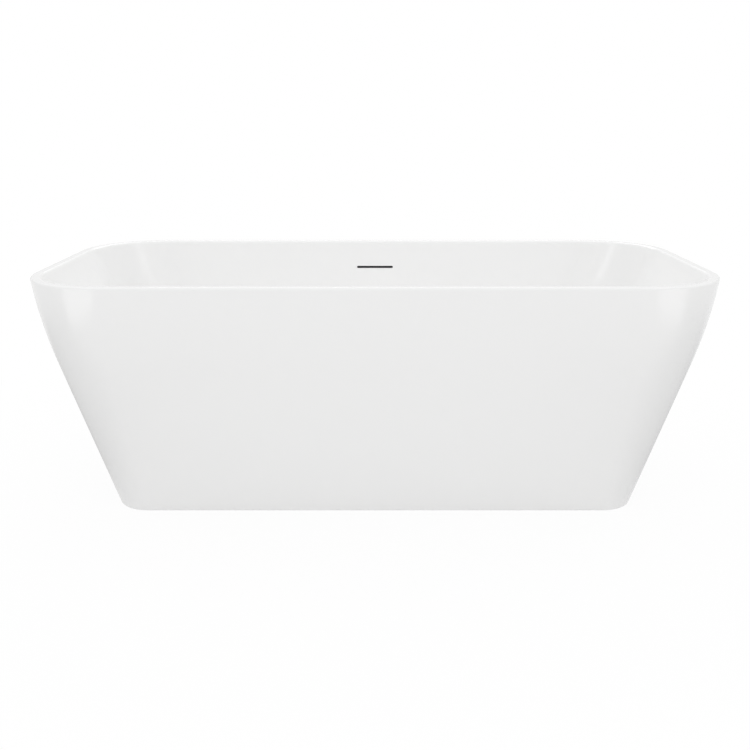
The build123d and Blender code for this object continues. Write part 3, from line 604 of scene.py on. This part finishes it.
# %% Slot cutter
def push_faces(bm, step):
    """Extrudes all faces of a bmesh by one step."""
    made = bmesh.ops.extrude_face_region(bm, geom=bm.faces[:])["geom"]
    bmesh.ops.translate(bm, verts=points_of(made), vec=step)
    face_out(bm)


cutter_bm = bmesh.new()
cutter_corners = [(x * SLOT_LENGTH / 2, BEHIND, SLOT_LEVEL + z * SLOT_HEIGHT / 2) for x, z in SQUARE]
rounded_face(cutter_bm, cutter_corners, SLOT_HEIGHT * 0.499, 10)
push_faces(cutter_bm, (0, 0.075, 0))
cutter = object_from("slot_cutter", cutter_bm)
cut = basin.modifiers.new("slot_cut", "BOOLEAN")
cut.object, cut.operation, cut.solver = cutter, "DIFFERENCE", "EXACT"
bpy.context.view_layer.update()
slotted = bpy.data.meshes.new_from_object(basin.evaluated_get(bpy.context.evaluated_depsgraph_get()))
basin.modifiers.remove(cut)
whole_mesh, basin.data = basin.data, slotted
bpy.data.meshes.remove(whole_mesh)
bpy.data.objects.remove(cutter)
print("slot cut, basin has", len(basin.data.polygons), "faces")

# %% Rounded lip of the slot
LIP_BREAK, LIP_ANGLE = 0.0006, 40


def on_slot(point):
    """True for a point on the edge of the slot."""
    along = abs(point.x) < SLOT_LENGTH / 2 + 5e-4
    return along and abs(point.z - SLOT_LEVEL) < SLOT_HEIGHT / 2 + 3e-4 and point.y > BEHIND


def round_edges(bm, edges, width, steps, clamp=False):
    """Bevels edges with a round profile."""
    bmesh.ops.bevel(
        bm, geom=edges, offset=width, segments=steps, profile=0.5, affect="EDGES", material=-1,
        clamp_overlap=clamp,
    )


slot_bm = bmesh.new()
slot_bm.from_mesh(basin.data)
lip = [
    e for e in slot_bm.edges
    if all(on_slot(v.co) for v in e.verts) and e.calc_face_angle(0.0) > math.radians(LIP_ANGLE)
]
round_edges(slot_bm, lip, LIP_BREAK, 3)
shade(slot_bm, 35)
slot_bm.to_mesh(basin.data)
slot_bm.free()
for shell in (skirt, basin):
    even = shell.modifiers.new("even_normals", "WEIGHTED_NORMAL")
    even.keep_sharp = True
print("lip edges", len(lip), "basin faces", len(basin.data.polygons))

# %% [markdown]
# ## Finishes of the fittings
# The drain is polished chrome on brass, its seals are rubber, the pipes are white and grey plastic. Metal
# gets its character from roughness: chrome is nearly a mirror with faint smudges, turned brass has fine
# rings. Plastics and rubber get the fine grain of their moulds.

# %% Chrome and brass
chrome = Finish("polished_chrome", (0.83, 0.84, 0.86), (0.04, 0.13), metallic=1.0, mark_scale=60.0)
chrome.bump(chrome.group(grain, 500.0)["Height"], 0.00001)

brass = Finish("turned_brass", (0.72, 0.52, 0.24), (0.22, 0.4), metallic=1.0, mark_scale=50.0)
brass.tint(brass.smudge, (0.78, 0.58, 0.28), (0.6, 0.41, 0.18))
brass.bump(brass.noise(60.0, 1.0, (1, 1, 40)), 0.00003)
print("metals", chrome.material.name, brass.material.name)


# %% Rubber and plastics
def moulded(name, color, roughness, mark_scale, clean, worn, grain_scale, depth):
    """Rubber or plastic: a tone that changes with handling, and the fine grain of its mould."""
    finish = Finish(name, color, roughness, mark_scale=mark_scale)
    finish.tint(finish.smudge, clean, worn)
    finish.bump(finish.group(grain, grain_scale)["Height"], depth)
    return finish


rubber = moulded(
    "seal_rubber", (0.022, 0.022, 0.023), (0.55, 0.75), 40.0,
    (0.018, 0.018, 0.019), (0.04, 0.04, 0.042), 1500.0, 0.00005,
)
black_plastic = moulded(
    "moulded_black_plastic", (0.024, 0.024, 0.026), (0.38, 0.52), 25.0,
    (0.02, 0.02, 0.022), (0.036, 0.036, 0.038), 1800.0, 0.00006,
)
hose_plastic = moulded(
    "hose_plastic", (0.5, 0.51, 0.52), (0.36, 0.5), 20.0,
    (0.54, 0.55, 0.56), (0.44, 0.45, 0.46), 1200.0, 0.00004,
)
white_pvc = moulded(
    "white_pvc", (0.8, 0.8, 0.775), (0.28, 0.42), 18.0,
    (0.82, 0.82, 0.8), (0.75, 0.75, 0.715), 900.0, 0.00003,
)
print("fittings have", len(bpy.data.materials), "materials so far")

# %% [markdown]
# ## Finishes of the frame underneath
# Galvanised steel shows spangles, flat crystals of zinc that each catch the light differently, and Voronoi
# cells give exactly that. Zinc plating on small parts is finer and a little yellow. Plywood is thin
# layers, each with its grain across the next, so its colour is worked out from the depth in the board.


# %% Steels
def spangled(name, color, dark, scale, roughness):
    """Zinc-coated steel: crystal cells that differ in tone."""
    finish = Finish(name, color, roughness, metallic=1.0, mark_scale=30.0)
    cells = add_node(finish.tree, "ShaderNodeTexVoronoi", {"Vector": finish.position, "Scale": scale})
    gray = add_node(finish.tree, "ShaderNodeRGBToBW", {0: cells.outputs["Color"]}).outputs[0]
    finish.tint(gray, dark, color)
    finish.bump(gray, 0.00004)
    return finish


galvanised = spangled("galvanised_sheet", (0.62, 0.64, 0.66), (0.42, 0.44, 0.46), 130.0, (0.3, 0.46))
zinc = spangled("zinc_plating", (0.72, 0.7, 0.63), (0.56, 0.54, 0.47), 700.0, (0.24, 0.4))
stainless = Finish("stainless_band", (0.63, 0.63, 0.64), (0.2, 0.34), metallic=1.0, mark_scale=45.0)
stainless.bump(stainless.noise(80.0, 2.0, (1, 1, 12)), 0.00003)
print("steels", galvanised.material.name, zinc.material.name, stainless.material.name)


# %% Plywood
def plywood_layers(name, axis, start, thickness, count):
    """Plywood whose layers are stacked along an axis, with the grain turned in every other one."""
    finish = Finish(name, (0.6, 0.43, 0.26), (0.55, 0.72), mark_scale=12.0)
    split = add_node(finish.tree, "ShaderNodeSeparateXYZ", {0: finish.position}).outputs
    depth = add_range(finish.tree, split[axis], start, start + thickness, 0.0, count)
    layer = add_range(finish.tree, add_math(finish.tree, "PINGPONG", depth, 1.0), 0.4, 0.6)
    long_grain = finish.noise(26.0, 5.0, (0.12, 2.6, 2.6))
    cross_grain = finish.noise(26.0, 5.0, (2.6, 0.12, 2.6))
    pick = add_node(finish.tree, "ShaderNodeMix", {0: layer, 2: long_grain, 3: cross_grain})
    lines = add_range(finish.tree, pick.outputs[0], 0.36, 0.66)
    finish.tint(lines, (0.68, 0.51, 0.32), (0.5, 0.34, 0.19))
    finish.bump(lines, 0.0003)
    return finish


PLY_LAYERS, BATTEN_THICK = 7.0, 0.0195
board_ply = plywood_layers("board_plywood", 2, 0.116, 0.016, PLY_LAYERS)
front_ply = plywood_layers("front_batten_plywood", 1, -0.2945, BATTEN_THICK, PLY_LAYERS)
rear_ply = plywood_layers("rear_batten_plywood", 1, 0.275, BATTEN_THICK, PLY_LAYERS)
print("materials", len(bpy.data.materials))


# %% [markdown]
# ## Solids that already have the right form
# Some pieces need no new mesh: the overflow box with its curved back, the seals, the pipes and the boards
# come over from the solid model as they are and only take a better finish.


# %% Finishes on carried-over solids
def dress(finish, *names):
    """Gives solid nodes a finish in place of their plain colour."""
    for name in names:
        piece = frame["nodes"][name]
        piece.data.materials.clear()
        piece.data.materials.append(finish.material)
    print("dressed", ", ".join(names), "in", finish.material.name)


dress(black_plastic, "overflow_box", "push_cartridge")
dress(rubber, "overflow_gasket", "drain_seal", "drain_washer")
dress(white_pvc, "drain_tee", "drain_tailpiece")
dress(board_ply, "base_board")
dress(front_ply, "front_batten")
dress(rear_ply, "rear_batten")

# %% [markdown]
# ## Turned pieces
# Drain, stopper, pads and studs are all made on a lathe or in round moulds. A spin does the same: half of
# the outline is drawn as a line of points and turned once about the upright axis. Sharp edges are then
# broken with a bevel, because an edge without one never catches light.


# %% Spin and edge tools
def new_line(bm, points):
    """Points in a bmesh, and the edges that join them one after the other."""
    line = [bm.verts.new(point) for point in points]
    return line, [bm.edges.new(pair) for pair in zip(line, line[1:])]


def outline_spin(points, steps, middle=(0.0, 0.0)):
    """Closed turned body from (radius, height) points, about an upright axis."""
    bm = bmesh.new()
    line, edges = new_line(bm, [(radius, 0.0, height) for radius, height in points])
    bmesh.ops.spin(
        bm, geom=line + edges, cent=(0, 0, 0), axis=(0, 0, 1), angle=2 * math.pi, steps=steps, use_merge=True
    )
    bmesh.ops.remove_doubles(bm, verts=bm.verts, dist=1e-6)
    face_out(bm)
    move_body(bm, (*middle, 0.0))
    return bm


def square_ring(inner, outer, low, high, steps):
    """Turned ring with a rectangular section."""
    return outline_spin([(inner, low), (outer, low), (outer, high), (inner, high), (inner, low)], steps)


def break_edges(bm, width, steps=2):
    """Rounds every edge at which two faces meet at more than 30 degrees."""
    sharp = [e for e in bm.edges if e.is_manifold and e.calc_face_angle(0.0) > math.radians(30)]
    round_edges(bm, sharp, width, steps, clamp=True)
    return bm


# %% [markdown]
# A few more tools build up pieces from simple bodies: a block, a hexagon with or without a bore, several
# bodies joined in one mesh, and the same body set at several places.

# %% Body tools
BORE_STEPS = 48


def turn_body(bm, angle, axis):
    """Turns a whole bmesh about an axis through the origin."""
    bmesh.ops.rotate(bm, verts=bm.verts, cent=(0, 0, 0), matrix=Matrix.Rotation(angle, 3, axis))


def box_body(size):
    """Box of a size, with its middle at the origin."""
    bm = bmesh.new()
    bmesh.ops.create_cube(bm, size=1.0)
    bmesh.ops.scale(bm, verts=bm.verts, vec=size)
    return bm


def joined(*bodies):
    """One bmesh from several, which are used up."""
    whole = bmesh.new()
    for body in bodies:
        step = bpy.data.meshes.new("step")
        body.to_mesh(step)
        body.free()
        whole.from_mesh(step)
        bpy.data.meshes.remove(step)
    return whole


def copies(bm, places):
    """The same body at several places, given as moves from where it is."""
    first = bm.verts[:] + bm.edges[:] + bm.faces[:]
    for place in places[1:]:
        made = bmesh.ops.duplicate(bm, geom=first)["geom"]
        bmesh.ops.translate(bm, verts=points_of(made), vec=place)
    bmesh.ops.translate(bm, verts=points_of(first), vec=places[0])
    return bm


def hexagon(flats, low, high, bore=None):
    """Hexagon prism, with a round bore through it if one is given."""
    bm = bmesh.new()
    bmesh.ops.create_circle(bm, segments=6, radius=flats / math.sqrt(3))
    if bore:
        bmesh.ops.subdivide_edges(bm, edges=bm.edges[:], cuts=BORE_STEPS // 6 - 1)
        rim = bm.edges[:]
        inner = bmesh.ops.create_circle(bm, segments=BORE_STEPS, radius=bore)["verts"]
        bmesh.ops.bridge_loops(bm, edges=rim + list({e for v in inner for e in v.link_edges}))
    else:
        bmesh.ops.holes_fill(bm, edges=bm.edges[:])
    push_faces(bm, (0, 0, high - low))
    move_body(bm, (0, 0, low))
    return bm


# %% [markdown]
# ## Drain and stopper
# The flange is a thin polished ring in the recess of the floor, with a barrel below it and a cross of
# spokes that carries the push cartridge. The stopper's cap is a low dome with a rounded edge, and it
# moves with its rubber ring and its plunger.

# %% Drain flange
flange_line = [
    (0.020, 0.0945), (0.023, 0.0945), (0.023, 0.1385), (0.035, 0.1385), (0.035, 0.1392), (0.0346, 0.1400),
    (0.0338, 0.1405), (0.0225, 0.1405), (0.0213, 0.1402), (0.0204, 0.1394), (0.020, 0.1383), (0.020, 0.0945),
]
spokes = []
for quarter in range(4):
    spoke = break_edges(box_body((0.0145, 0.004, 0.008)), 0.0006)
    move_body(spoke, (0.01425, 0, 0.106))
    turn_body(spoke, quarter * math.pi / 2, "Z")
    spokes.append(spoke)
boss = break_edges(square_ring(0.005, 0.008, 0.102, 0.110, 48), 0.0004)
flange_bm = joined(outline_spin(flange_line, 96), boss, *spokes)
set_in_place("drain_ring", flange_bm, [chrome], "tub", "chrome", "drain_flange")

# %% Stopper
CAP_LOW, CAP_EDGE, CAP_CROWN, CAP_OUT = 0.1423, 0.1463, 0.1488, 0.031
cap_line = [(0.0, CAP_LOW), (0.004, CAP_LOW), (0.004, 0.1363), (0.007, 0.1363), (0.007, CAP_LOW)]
cap_line += [(0.0299, CAP_LOW), (0.0306, CAP_LOW + 0.0003), (CAP_OUT, CAP_LOW + 0.0011)]
cap_line += [(CAP_OUT, CAP_EDGE - 0.0014), (0.0307, CAP_EDGE - 0.0005), (0.0300, CAP_EDGE + 0.00015)]
cap_line += [
    (CAP_OUT * share, CAP_EDGE + (CAP_CROWN - CAP_EDGE) * (1 - share**2))
    for share in (0.93, 0.85, 0.75, 0.62, 0.48, 0.32, 0.16, 0.0)
]
cap_bm = outline_spin(cap_line, 96)
set_in_place("stopper_dome", cap_bm, [chrome], "stopper", "chrome", "stopper_cap", sharp=50)
ring_bm = break_edges(square_ring(0.0245, 0.029, 0.1408, CAP_LOW, 96), 0.0004)
set_in_place("stopper_ring", ring_bm, [rubber], "stopper", "rubber", "stopper_gasket")
rod_line = [(0.0, 0.1163), (0.003, 0.1163), (0.004, 0.1173), (0.004, 0.125), (0.0036, 0.1254)]
rod_line += [(0.0036, 0.1266), (0.004, 0.127), (0.004, CAP_LOW), (0.0, CAP_LOW)]
rod_bm = outline_spin(rod_line, 40)
set_in_place("stopper_rod", rod_bm, [brass], "stopper", "brass", "stopper_plunger")

# %% [markdown]
# Below the floor a brass locknut draws the flange down, and a plastic slip nut with grip ribs holds the
# tailpiece. The ribs are made by drawing in every other pair of points round the nut.

# %% Locknut and slip nut
nut_bm = break_edges(hexagon(0.062, 0.119, 0.129, 0.0231), 0.0012)
set_in_place("drain_nut", nut_bm, [brass], "tub", "brass", "drain_locknut")

RIB_TURN, RIB_START, RIB_OUT, RIB_IN = 15.0, 7.4, 0.030, 0.0284
slip_line = [(0.0192, 0.030), (0.0285, 0.030), (RIB_OUT, 0.0315), (RIB_OUT, 0.0465), (0.0285, 0.048)]
slip_line += [(0.0241, 0.048), (0.0241, 0.040), (0.0192, 0.040), (0.0192, 0.030)]
slip_bm = outline_spin(slip_line, 96)
for point in slip_bm.verts:
    turned = math.degrees(math.atan2(point.co.y, point.co.x)) % RIB_TURN
    if math.hypot(point.co.x, point.co.y) > RIB_OUT - 0.0005 and turned > RIB_START:
        point.co.xy *= RIB_IN / RIB_OUT
set_in_place("tail_nut", slip_bm, [white_pvc], "tub", "white_pvc", "tailpiece_slip_nut")

# %% [markdown]
# ## Overflow hose and its clamps
# The hose runs down between the two walls, bends once and goes level into the tee. It is held all the way,
# so it keeps the solid's route. A ring is walked along that route, two steps wide and two steps narrow,
# which makes the corrugations. With one step each, smooth shading would even them out. Both ends stay
# plain under the clamps.

# %% Route of the hose
BEND = 0.110
outlet, corner = Vector((0, 0.35785, 0.458)), Vector((0, 0.25425, 0.065))
hose_end = Vector((0, 0.027, 0.065))
drop = (corner - outlet).normalized()
level = (hose_end - corner).normalized()
hose_top = outlet + drop * 0.009
bend_angle = drop.angle(level)
tangent = BEND * math.tan(bend_angle / 2)
bend_side = (level - drop * level.dot(drop)).normalized()
bend_middle = corner - drop * tangent + bend_side * BEND
bend_from = (corner - hose_top).length - tangent
bend_to = bend_from + BEND * bend_angle
hose_length = bend_to + ((hose_end - corner).length - tangent)
print("hose length", round(hose_length, 4), "bent by", round(math.degrees(bend_angle), 1), "degrees")

# %% Overflow hose
HOSE_OUT, HOSE_RIB, HOSE_STEP, HOSE_WALL = 0.0121, 0.0107, 0.0012, 0.0011
TOP_CUFF, END_CUFF = 0.023, 0.0245
hose_bm = bmesh.new()
bmesh.ops.create_circle(hose_bm, segments=28, radius=HOSE_OUT)
facing = drop.to_track_quat("Z", "Y").to_matrix().to_4x4()
bmesh.ops.transform(hose_bm, matrix=Matrix.Translation(hose_top) @ facing, verts=hose_bm.verts)
ring_edges, centre, radius, walked, rings = hose_bm.edges[:], hose_top.copy(), HOSE_OUT, 0.0, 0
while walked < hose_length - 1e-6:
    step = min(HOSE_STEP, hose_length - walked)
    half_way = walked + step / 2
    made = bmesh.ops.extrude_edge_only(hose_bm, edges=ring_edges)["geom"]
    points = points_of(made)
    ring_edges = free_edges(made, points)
    if bend_from < half_way < bend_to:
        swing = Matrix.Rotation(-step / BEND, 4, "X")
        bmesh.ops.rotate(hose_bm, verts=points, cent=bend_middle, matrix=swing)
        centre = bend_middle + swing @ (centre - bend_middle)
    else:
        move = (drop if half_way < bend_from else level) * step
        bmesh.ops.translate(hose_bm, verts=points, vec=move)
        centre = centre + move
    cuff = walked < TOP_CUFF or walked > hose_length - END_CUFF
    wanted = HOSE_OUT if cuff or rings % 4 < 2 else HOSE_RIB
    bmesh.ops.scale(hose_bm, verts=points, vec=(wanted / radius,) * 3, space=Matrix.Translation(-centre))
    radius, walked, rings = wanted, walked + step, rings + 1
face_out(hose_bm)
first_face = hose_bm.faces[:1][0]
if (first_face.calc_center_median() - hose_top).dot(first_face.normal) < 0:
    bmesh.ops.reverse_faces(hose_bm, faces=hose_bm.faces)
hose = set_in_place(
    "corrugated_hose", hose_bm, [hose_plastic], "tub", "hose_plastic", "overflow_hose", sharp=180
)
hose_wall = hose.modifiers.new("hose_wall", "SOLIDIFY")
hose_wall.thickness, hose_wall.offset = HOSE_WALL, -1.0
print("hose ends at", [round(c, 4) for c in centre])

# %% [markdown]
# Each clamp is a thin band with a worm screw in a small housing. It is built upright at the origin and then
# turned to the hose.

# %% Hose clamps
CLAMP_LOW, CLAMP_HIGH, CLAMP_HALF = 0.0122, 0.0132, 0.0045
sideways = Vector((1, 0, 0))
clamps = []
for middle, heading in ((outlet + drop * 0.020, drop), (hose_end - level * 0.011, -level)):
    band = break_edges(square_ring(CLAMP_LOW, CLAMP_HIGH, -CLAMP_HALF, CLAMP_HALF, 64), 0.0003)
    housing = box_body((0.0068, 0.008, 0.009))
    move_body(housing, (0.0166, 0, 0))
    break_edges(housing, 0.0012, 3)
    screw = break_edges(hexagon(0.0055, -0.0036, 0.0036), 0.0005)
    turn_body(screw, math.pi / 2, "X")
    move_body(screw, (0.0168, 0, 0))
    clamp = joined(band, housing, screw)
    facing = Matrix((sideways, heading.cross(sideways), heading)).transposed().to_4x4()
    bmesh.ops.transform(clamp, matrix=Matrix.Translation(middle) @ facing, verts=clamp.verts)
    clamps.append(clamp)
set_in_place("worm_clamps", joined(*clamps), [stainless], "tub", "stainless", "hose_clamps")

# %% [markdown]
# ## Steel frame
# The rails are folded from zinc-coated sheet, so their corners are bends, not sharp edges. The fold is
# drawn as a line with its two corners beveled, pushed along the rail's length, and given the sheet's
# thickness.

# %% Rails and cross members
RAIL_TOP, RAIL_BOTTOM, RAIL_HALF, RAIL_SIDE, RAIL_LENGTH = 0.116, 0.086, 0.017, 0.115, 1.0
TIE_LENGTH, TIE_PLACE, SHEET = 0.196, 0.3, 0.0025


def folded_sheet(points, length, fold, steps, thickness):
    """Sheet pushed along X from a line of points, with bent corners and its thickness inside."""
    bm = bmesh.new()
    made = bmesh.ops.extrude_edge_only(bm, edges=new_line(bm, points)[1])["geom"]
    bmesh.ops.translate(bm, verts=points_of(made), vec=(length, 0, 0))
    round_edges(bm, [e for e in bm.edges if e.is_manifold], fold, steps)
    face_out(bm)
    if sum(f.normal.z for f in bm.faces) < 0:
        bmesh.ops.reverse_faces(bm, faces=bm.faces)
    bmesh.ops.solidify(bm, geom=bm.faces[:], thickness=thickness)
    face_out(bm)
    return bm


def folded_channel(length):
    """Downward-open channel along X, its middle at the origin, at the rails' height."""
    section = ((-1, RAIL_BOTTOM), (-1, RAIL_TOP), (1, RAIL_TOP), (1, RAIL_BOTTOM))
    points = [(-length / 2, y * RAIL_HALF, z) for y, z in section]
    return folded_sheet(points, length, 0.0035, 5, SHEET)


for name, node, side in (("front_channel", "front_rail", -1), ("rear_channel", "rear_rail", 1)):
    rail_bm = folded_channel(RAIL_LENGTH)
    move_body(rail_bm, (0, side * RAIL_SIDE, 0))
    set_in_place(name, rail_bm, [galvanised], "tub", "galvanised_steel", node)
for name, node, side in (("left_tie", "left_cross_member", -1), ("right_tie", "right_cross_member", 1)):
    tie_bm = folded_channel(TIE_LENGTH)
    turn_body(tie_bm, math.pi / 2, "Z")
    move_body(tie_bm, (side * TIE_PLACE, 0, 0))
    set_in_place(name, tie_bm, [galvanised], "tub", "galvanised_steel", node)

# %% [markdown]
# Straps tie the rails to the battens. Each is a flat bar with one bend, pushed across its width, and it
# gets its thickness in the same way as the rails.

# %% Straps
STRAP_PLACE, STRAP_WIDTH, STRAP_SHEET, BATTEN_FACE = 0.26, 0.030, 0.003, 0.27528


def bent_strap(x, side):
    """Flat bar from under a rail to a batten, bent down once."""
    section = ((0.098, RAIL_BOTTOM), (BATTEN_FACE, RAIL_BOTTOM), (BATTEN_FACE, 0.044))
    points = [(x - STRAP_WIDTH / 2, side * y, z) for y, z in section]
    return break_edges(folded_sheet(points, STRAP_WIDTH, 0.006, 6, STRAP_SHEET), 0.0005)


for name, node, side in (("front_ties", "front_straps", -1), ("rear_ties", "rear_straps", 1)):
    strap_bm = joined(bent_strap(-STRAP_PLACE, side), bent_strap(STRAP_PLACE, side))
    set_in_place(name, strap_bm, [galvanised], "tub", "galvanised_steel", node)

# %% [markdown]
# The frame is held together with hexagon washer-head screws. One screw is made once, from a turned washer,
# a hexagon and a shank, and then copied to its places.

# %% Screws
SCREW_CREST, SCREW_ROOT, SCREW_PITCH, SCREW_TURNS = 0.002, 0.0015, 0.0012, 9


def washer_head_screw():
    """Screw that points up, with the seat of its head at the origin."""
    washer_line = [(0.0, -0.0009), (0.0043, -0.0009), (0.0045, -0.0005), (0.0045, 0.0), (0.0, 0.0)]
    head = break_edges(hexagon(0.0062, -0.003, -0.0008), 0.0003)
    shank_line = [(0.0, 0.0), (SCREW_CREST, 0.0)]
    for turn in range(SCREW_TURNS):
        climb = turn * SCREW_PITCH
        shank_line += [(SCREW_CREST, 0.0031 + climb), (SCREW_ROOT, 0.0037 + climb)]
    shank_line += [(0.0012, 0.0142), (0.0, 0.0145)]
    return joined(outline_spin(washer_line, 32), head, outline_spin(shank_line, 16))


rail_spots = [
    Vector((x, side * RAIL_SIDE, RAIL_TOP - SHEET))
    for x in (-0.375, -0.125, 0.125, 0.375) for side in (-1, 1)
]
rail_screw_bm = copies(washer_head_screw(), rail_spots)
set_in_place("rail_fixings", rail_screw_bm, [zinc], "tub", "zinc_steel", "rail_screws")

strap_screws = []
for side in (-1, 1):
    screw = washer_head_screw()
    turn_body(screw, -side * math.pi / 2, "X")
    strap_spots = [
        Vector((x, side * (BATTEN_FACE - STRAP_SHEET), z))
        for x in (-STRAP_PLACE, STRAP_PLACE) for z in (0.055, 0.075)
    ]
    strap_screws.append(copies(screw, strap_spots))
set_in_place("strap_fixings", joined(*strap_screws), [zinc], "tub", "zinc_steel", "strap_screws")

# %% [markdown]
# ## Levelling feet
# Each foot is a threaded stud that turns in a welded nut and stands in a round plastic pad. The thread is
# a small tooth that climbs while it is spun, one pitch in every turn, and the turns are then welded
# together.

# %% Foot plates and nuts
FOOT_PLACE = 0.44
FEET = {
    f"{end}_{hand}": (x * FOOT_PLACE, y * RAIL_SIDE)
    for end, y in (("front", -1), ("rear", 1)) for hand, x in (("left", -1), ("right", 1))
}
foot_spots = [Vector((x, y, 0.0)) for x, y in FEET.values()]
plate_bm = box_body((0.064, 0.034, 0.004))
move_body(plate_bm, (0, 0, 0.084))
upright = [e for e in plate_bm.edges if abs(e.verts[0].co.z - e.verts[1].co.z) > 0.002]
round_edges(plate_bm, upright, 0.003, 4)
copies(break_edges(plate_bm, 0.0005), foot_spots)
set_in_place("foot_plate_set", plate_bm, [galvanised], "tub", "galvanised_steel", "foot_plates")
for name, node, low, high in (
    ("weld_nut_set", "foot_weld_nuts", 0.086, 0.096),
    ("lock_nut_set", "foot_lock_nuts", 0.075, 0.082),
):
    nuts_bm = copies(break_edges(hexagon(0.019, low, high, 0.00608), 0.0007), foot_spots)
    set_in_place(name, nuts_bm, [zinc], "tub", "zinc_steel", node)

# %% Threaded stud
PITCH, ROOT, CREST, THREAD_LOW, THREAD_TURNS, TURN_STEPS = 0.00175, 0.0051, 0.006, 0.0312, 42, 18


def stud_thread():
    """Thread on the origin's axis: a tooth that climbs one pitch in every turn."""
    bm = bmesh.new()
    tooth = [(ROOT, 0.0), (CREST, 0.35 * PITCH), (CREST, 0.5 * PITCH), (ROOT, 0.85 * PITCH), (ROOT, PITCH)]
    line, edges = new_line(bm, [(radius, 0.0, THREAD_LOW + height) for radius, height in tooth])
    bmesh.ops.spin(
        bm, geom=line + edges, cent=(0, 0, 0), axis=(0, 0, 1), angle=2 * math.pi * THREAD_TURNS,
        steps=TURN_STEPS * THREAD_TURNS, dvec=(0, 0, PITCH / TURN_STEPS), use_merge=False,
    )
    bmesh.ops.remove_doubles(bm, verts=bm.verts, dist=2e-5)
    face_out(bm)
    if sum(f.normal.dot(f.calc_center_median() * Vector((1, 1, 0))) for f in bm.faces) < 0:
        bmesh.ops.reverse_faces(bm, faces=bm.faces)
    return bm


def threaded_stud():
    """Stud with its disc, hexagon and thread, on the origin's axis."""
    core_line = [(0.0, 0.0041), (0.0086, 0.0041), (0.009, 0.0045), (0.009, 0.0097), (0.0086, 0.0101)]
    core_line += [(CREST, 0.0101), (CREST, THREAD_LOW), (0.00515, 0.0314), (0.00515, 0.1052)]
    core_line += [(0.0045, 0.106), (0.0, 0.106)]
    key = break_edges(hexagon(0.017, 0.023, 0.031), 0.0007)
    return joined(stud_thread(), outline_spin(core_line, 36), key)


# %% Pads and studs
pad_line = [(0.0, 0.0), (0.0242, 0.0), (0.025, 0.0008), (0.025, 0.0043), (0.0243, 0.0055)]
pad_line += [(0.0140, 0.0141), (0.0122, 0.015), (0.0066, 0.015), (0.0061, 0.0145), (0.0061, 0.0102)]
pad_line += [(0.0091, 0.0102), (0.0091, 0.004), (0.0, 0.004)]
for name, spot in FEET.items():
    pad_bm = outline_spin(pad_line, 64, spot)
    pad_node, stud_node = f"{name}_foot_pad", f"{name}_foot_stud"
    set_in_place(f"{name}_pad_foot", pad_bm, [black_plastic], f"{name}_pad", "black_plastic", pad_node)
    stud_bm = threaded_stud()
    move_body(stud_bm, (*spot, 0.0))
    set_in_place(f"{name}_threaded_stud", stud_bm, [zinc], f"{name}_stud", "zinc_steel", stud_node)

# %% [markdown]
# ## Last update
# The view layer is updated once more at the end, so that every piece stands where it was put.

# %% Last update
bpy.context.view_layer.update()
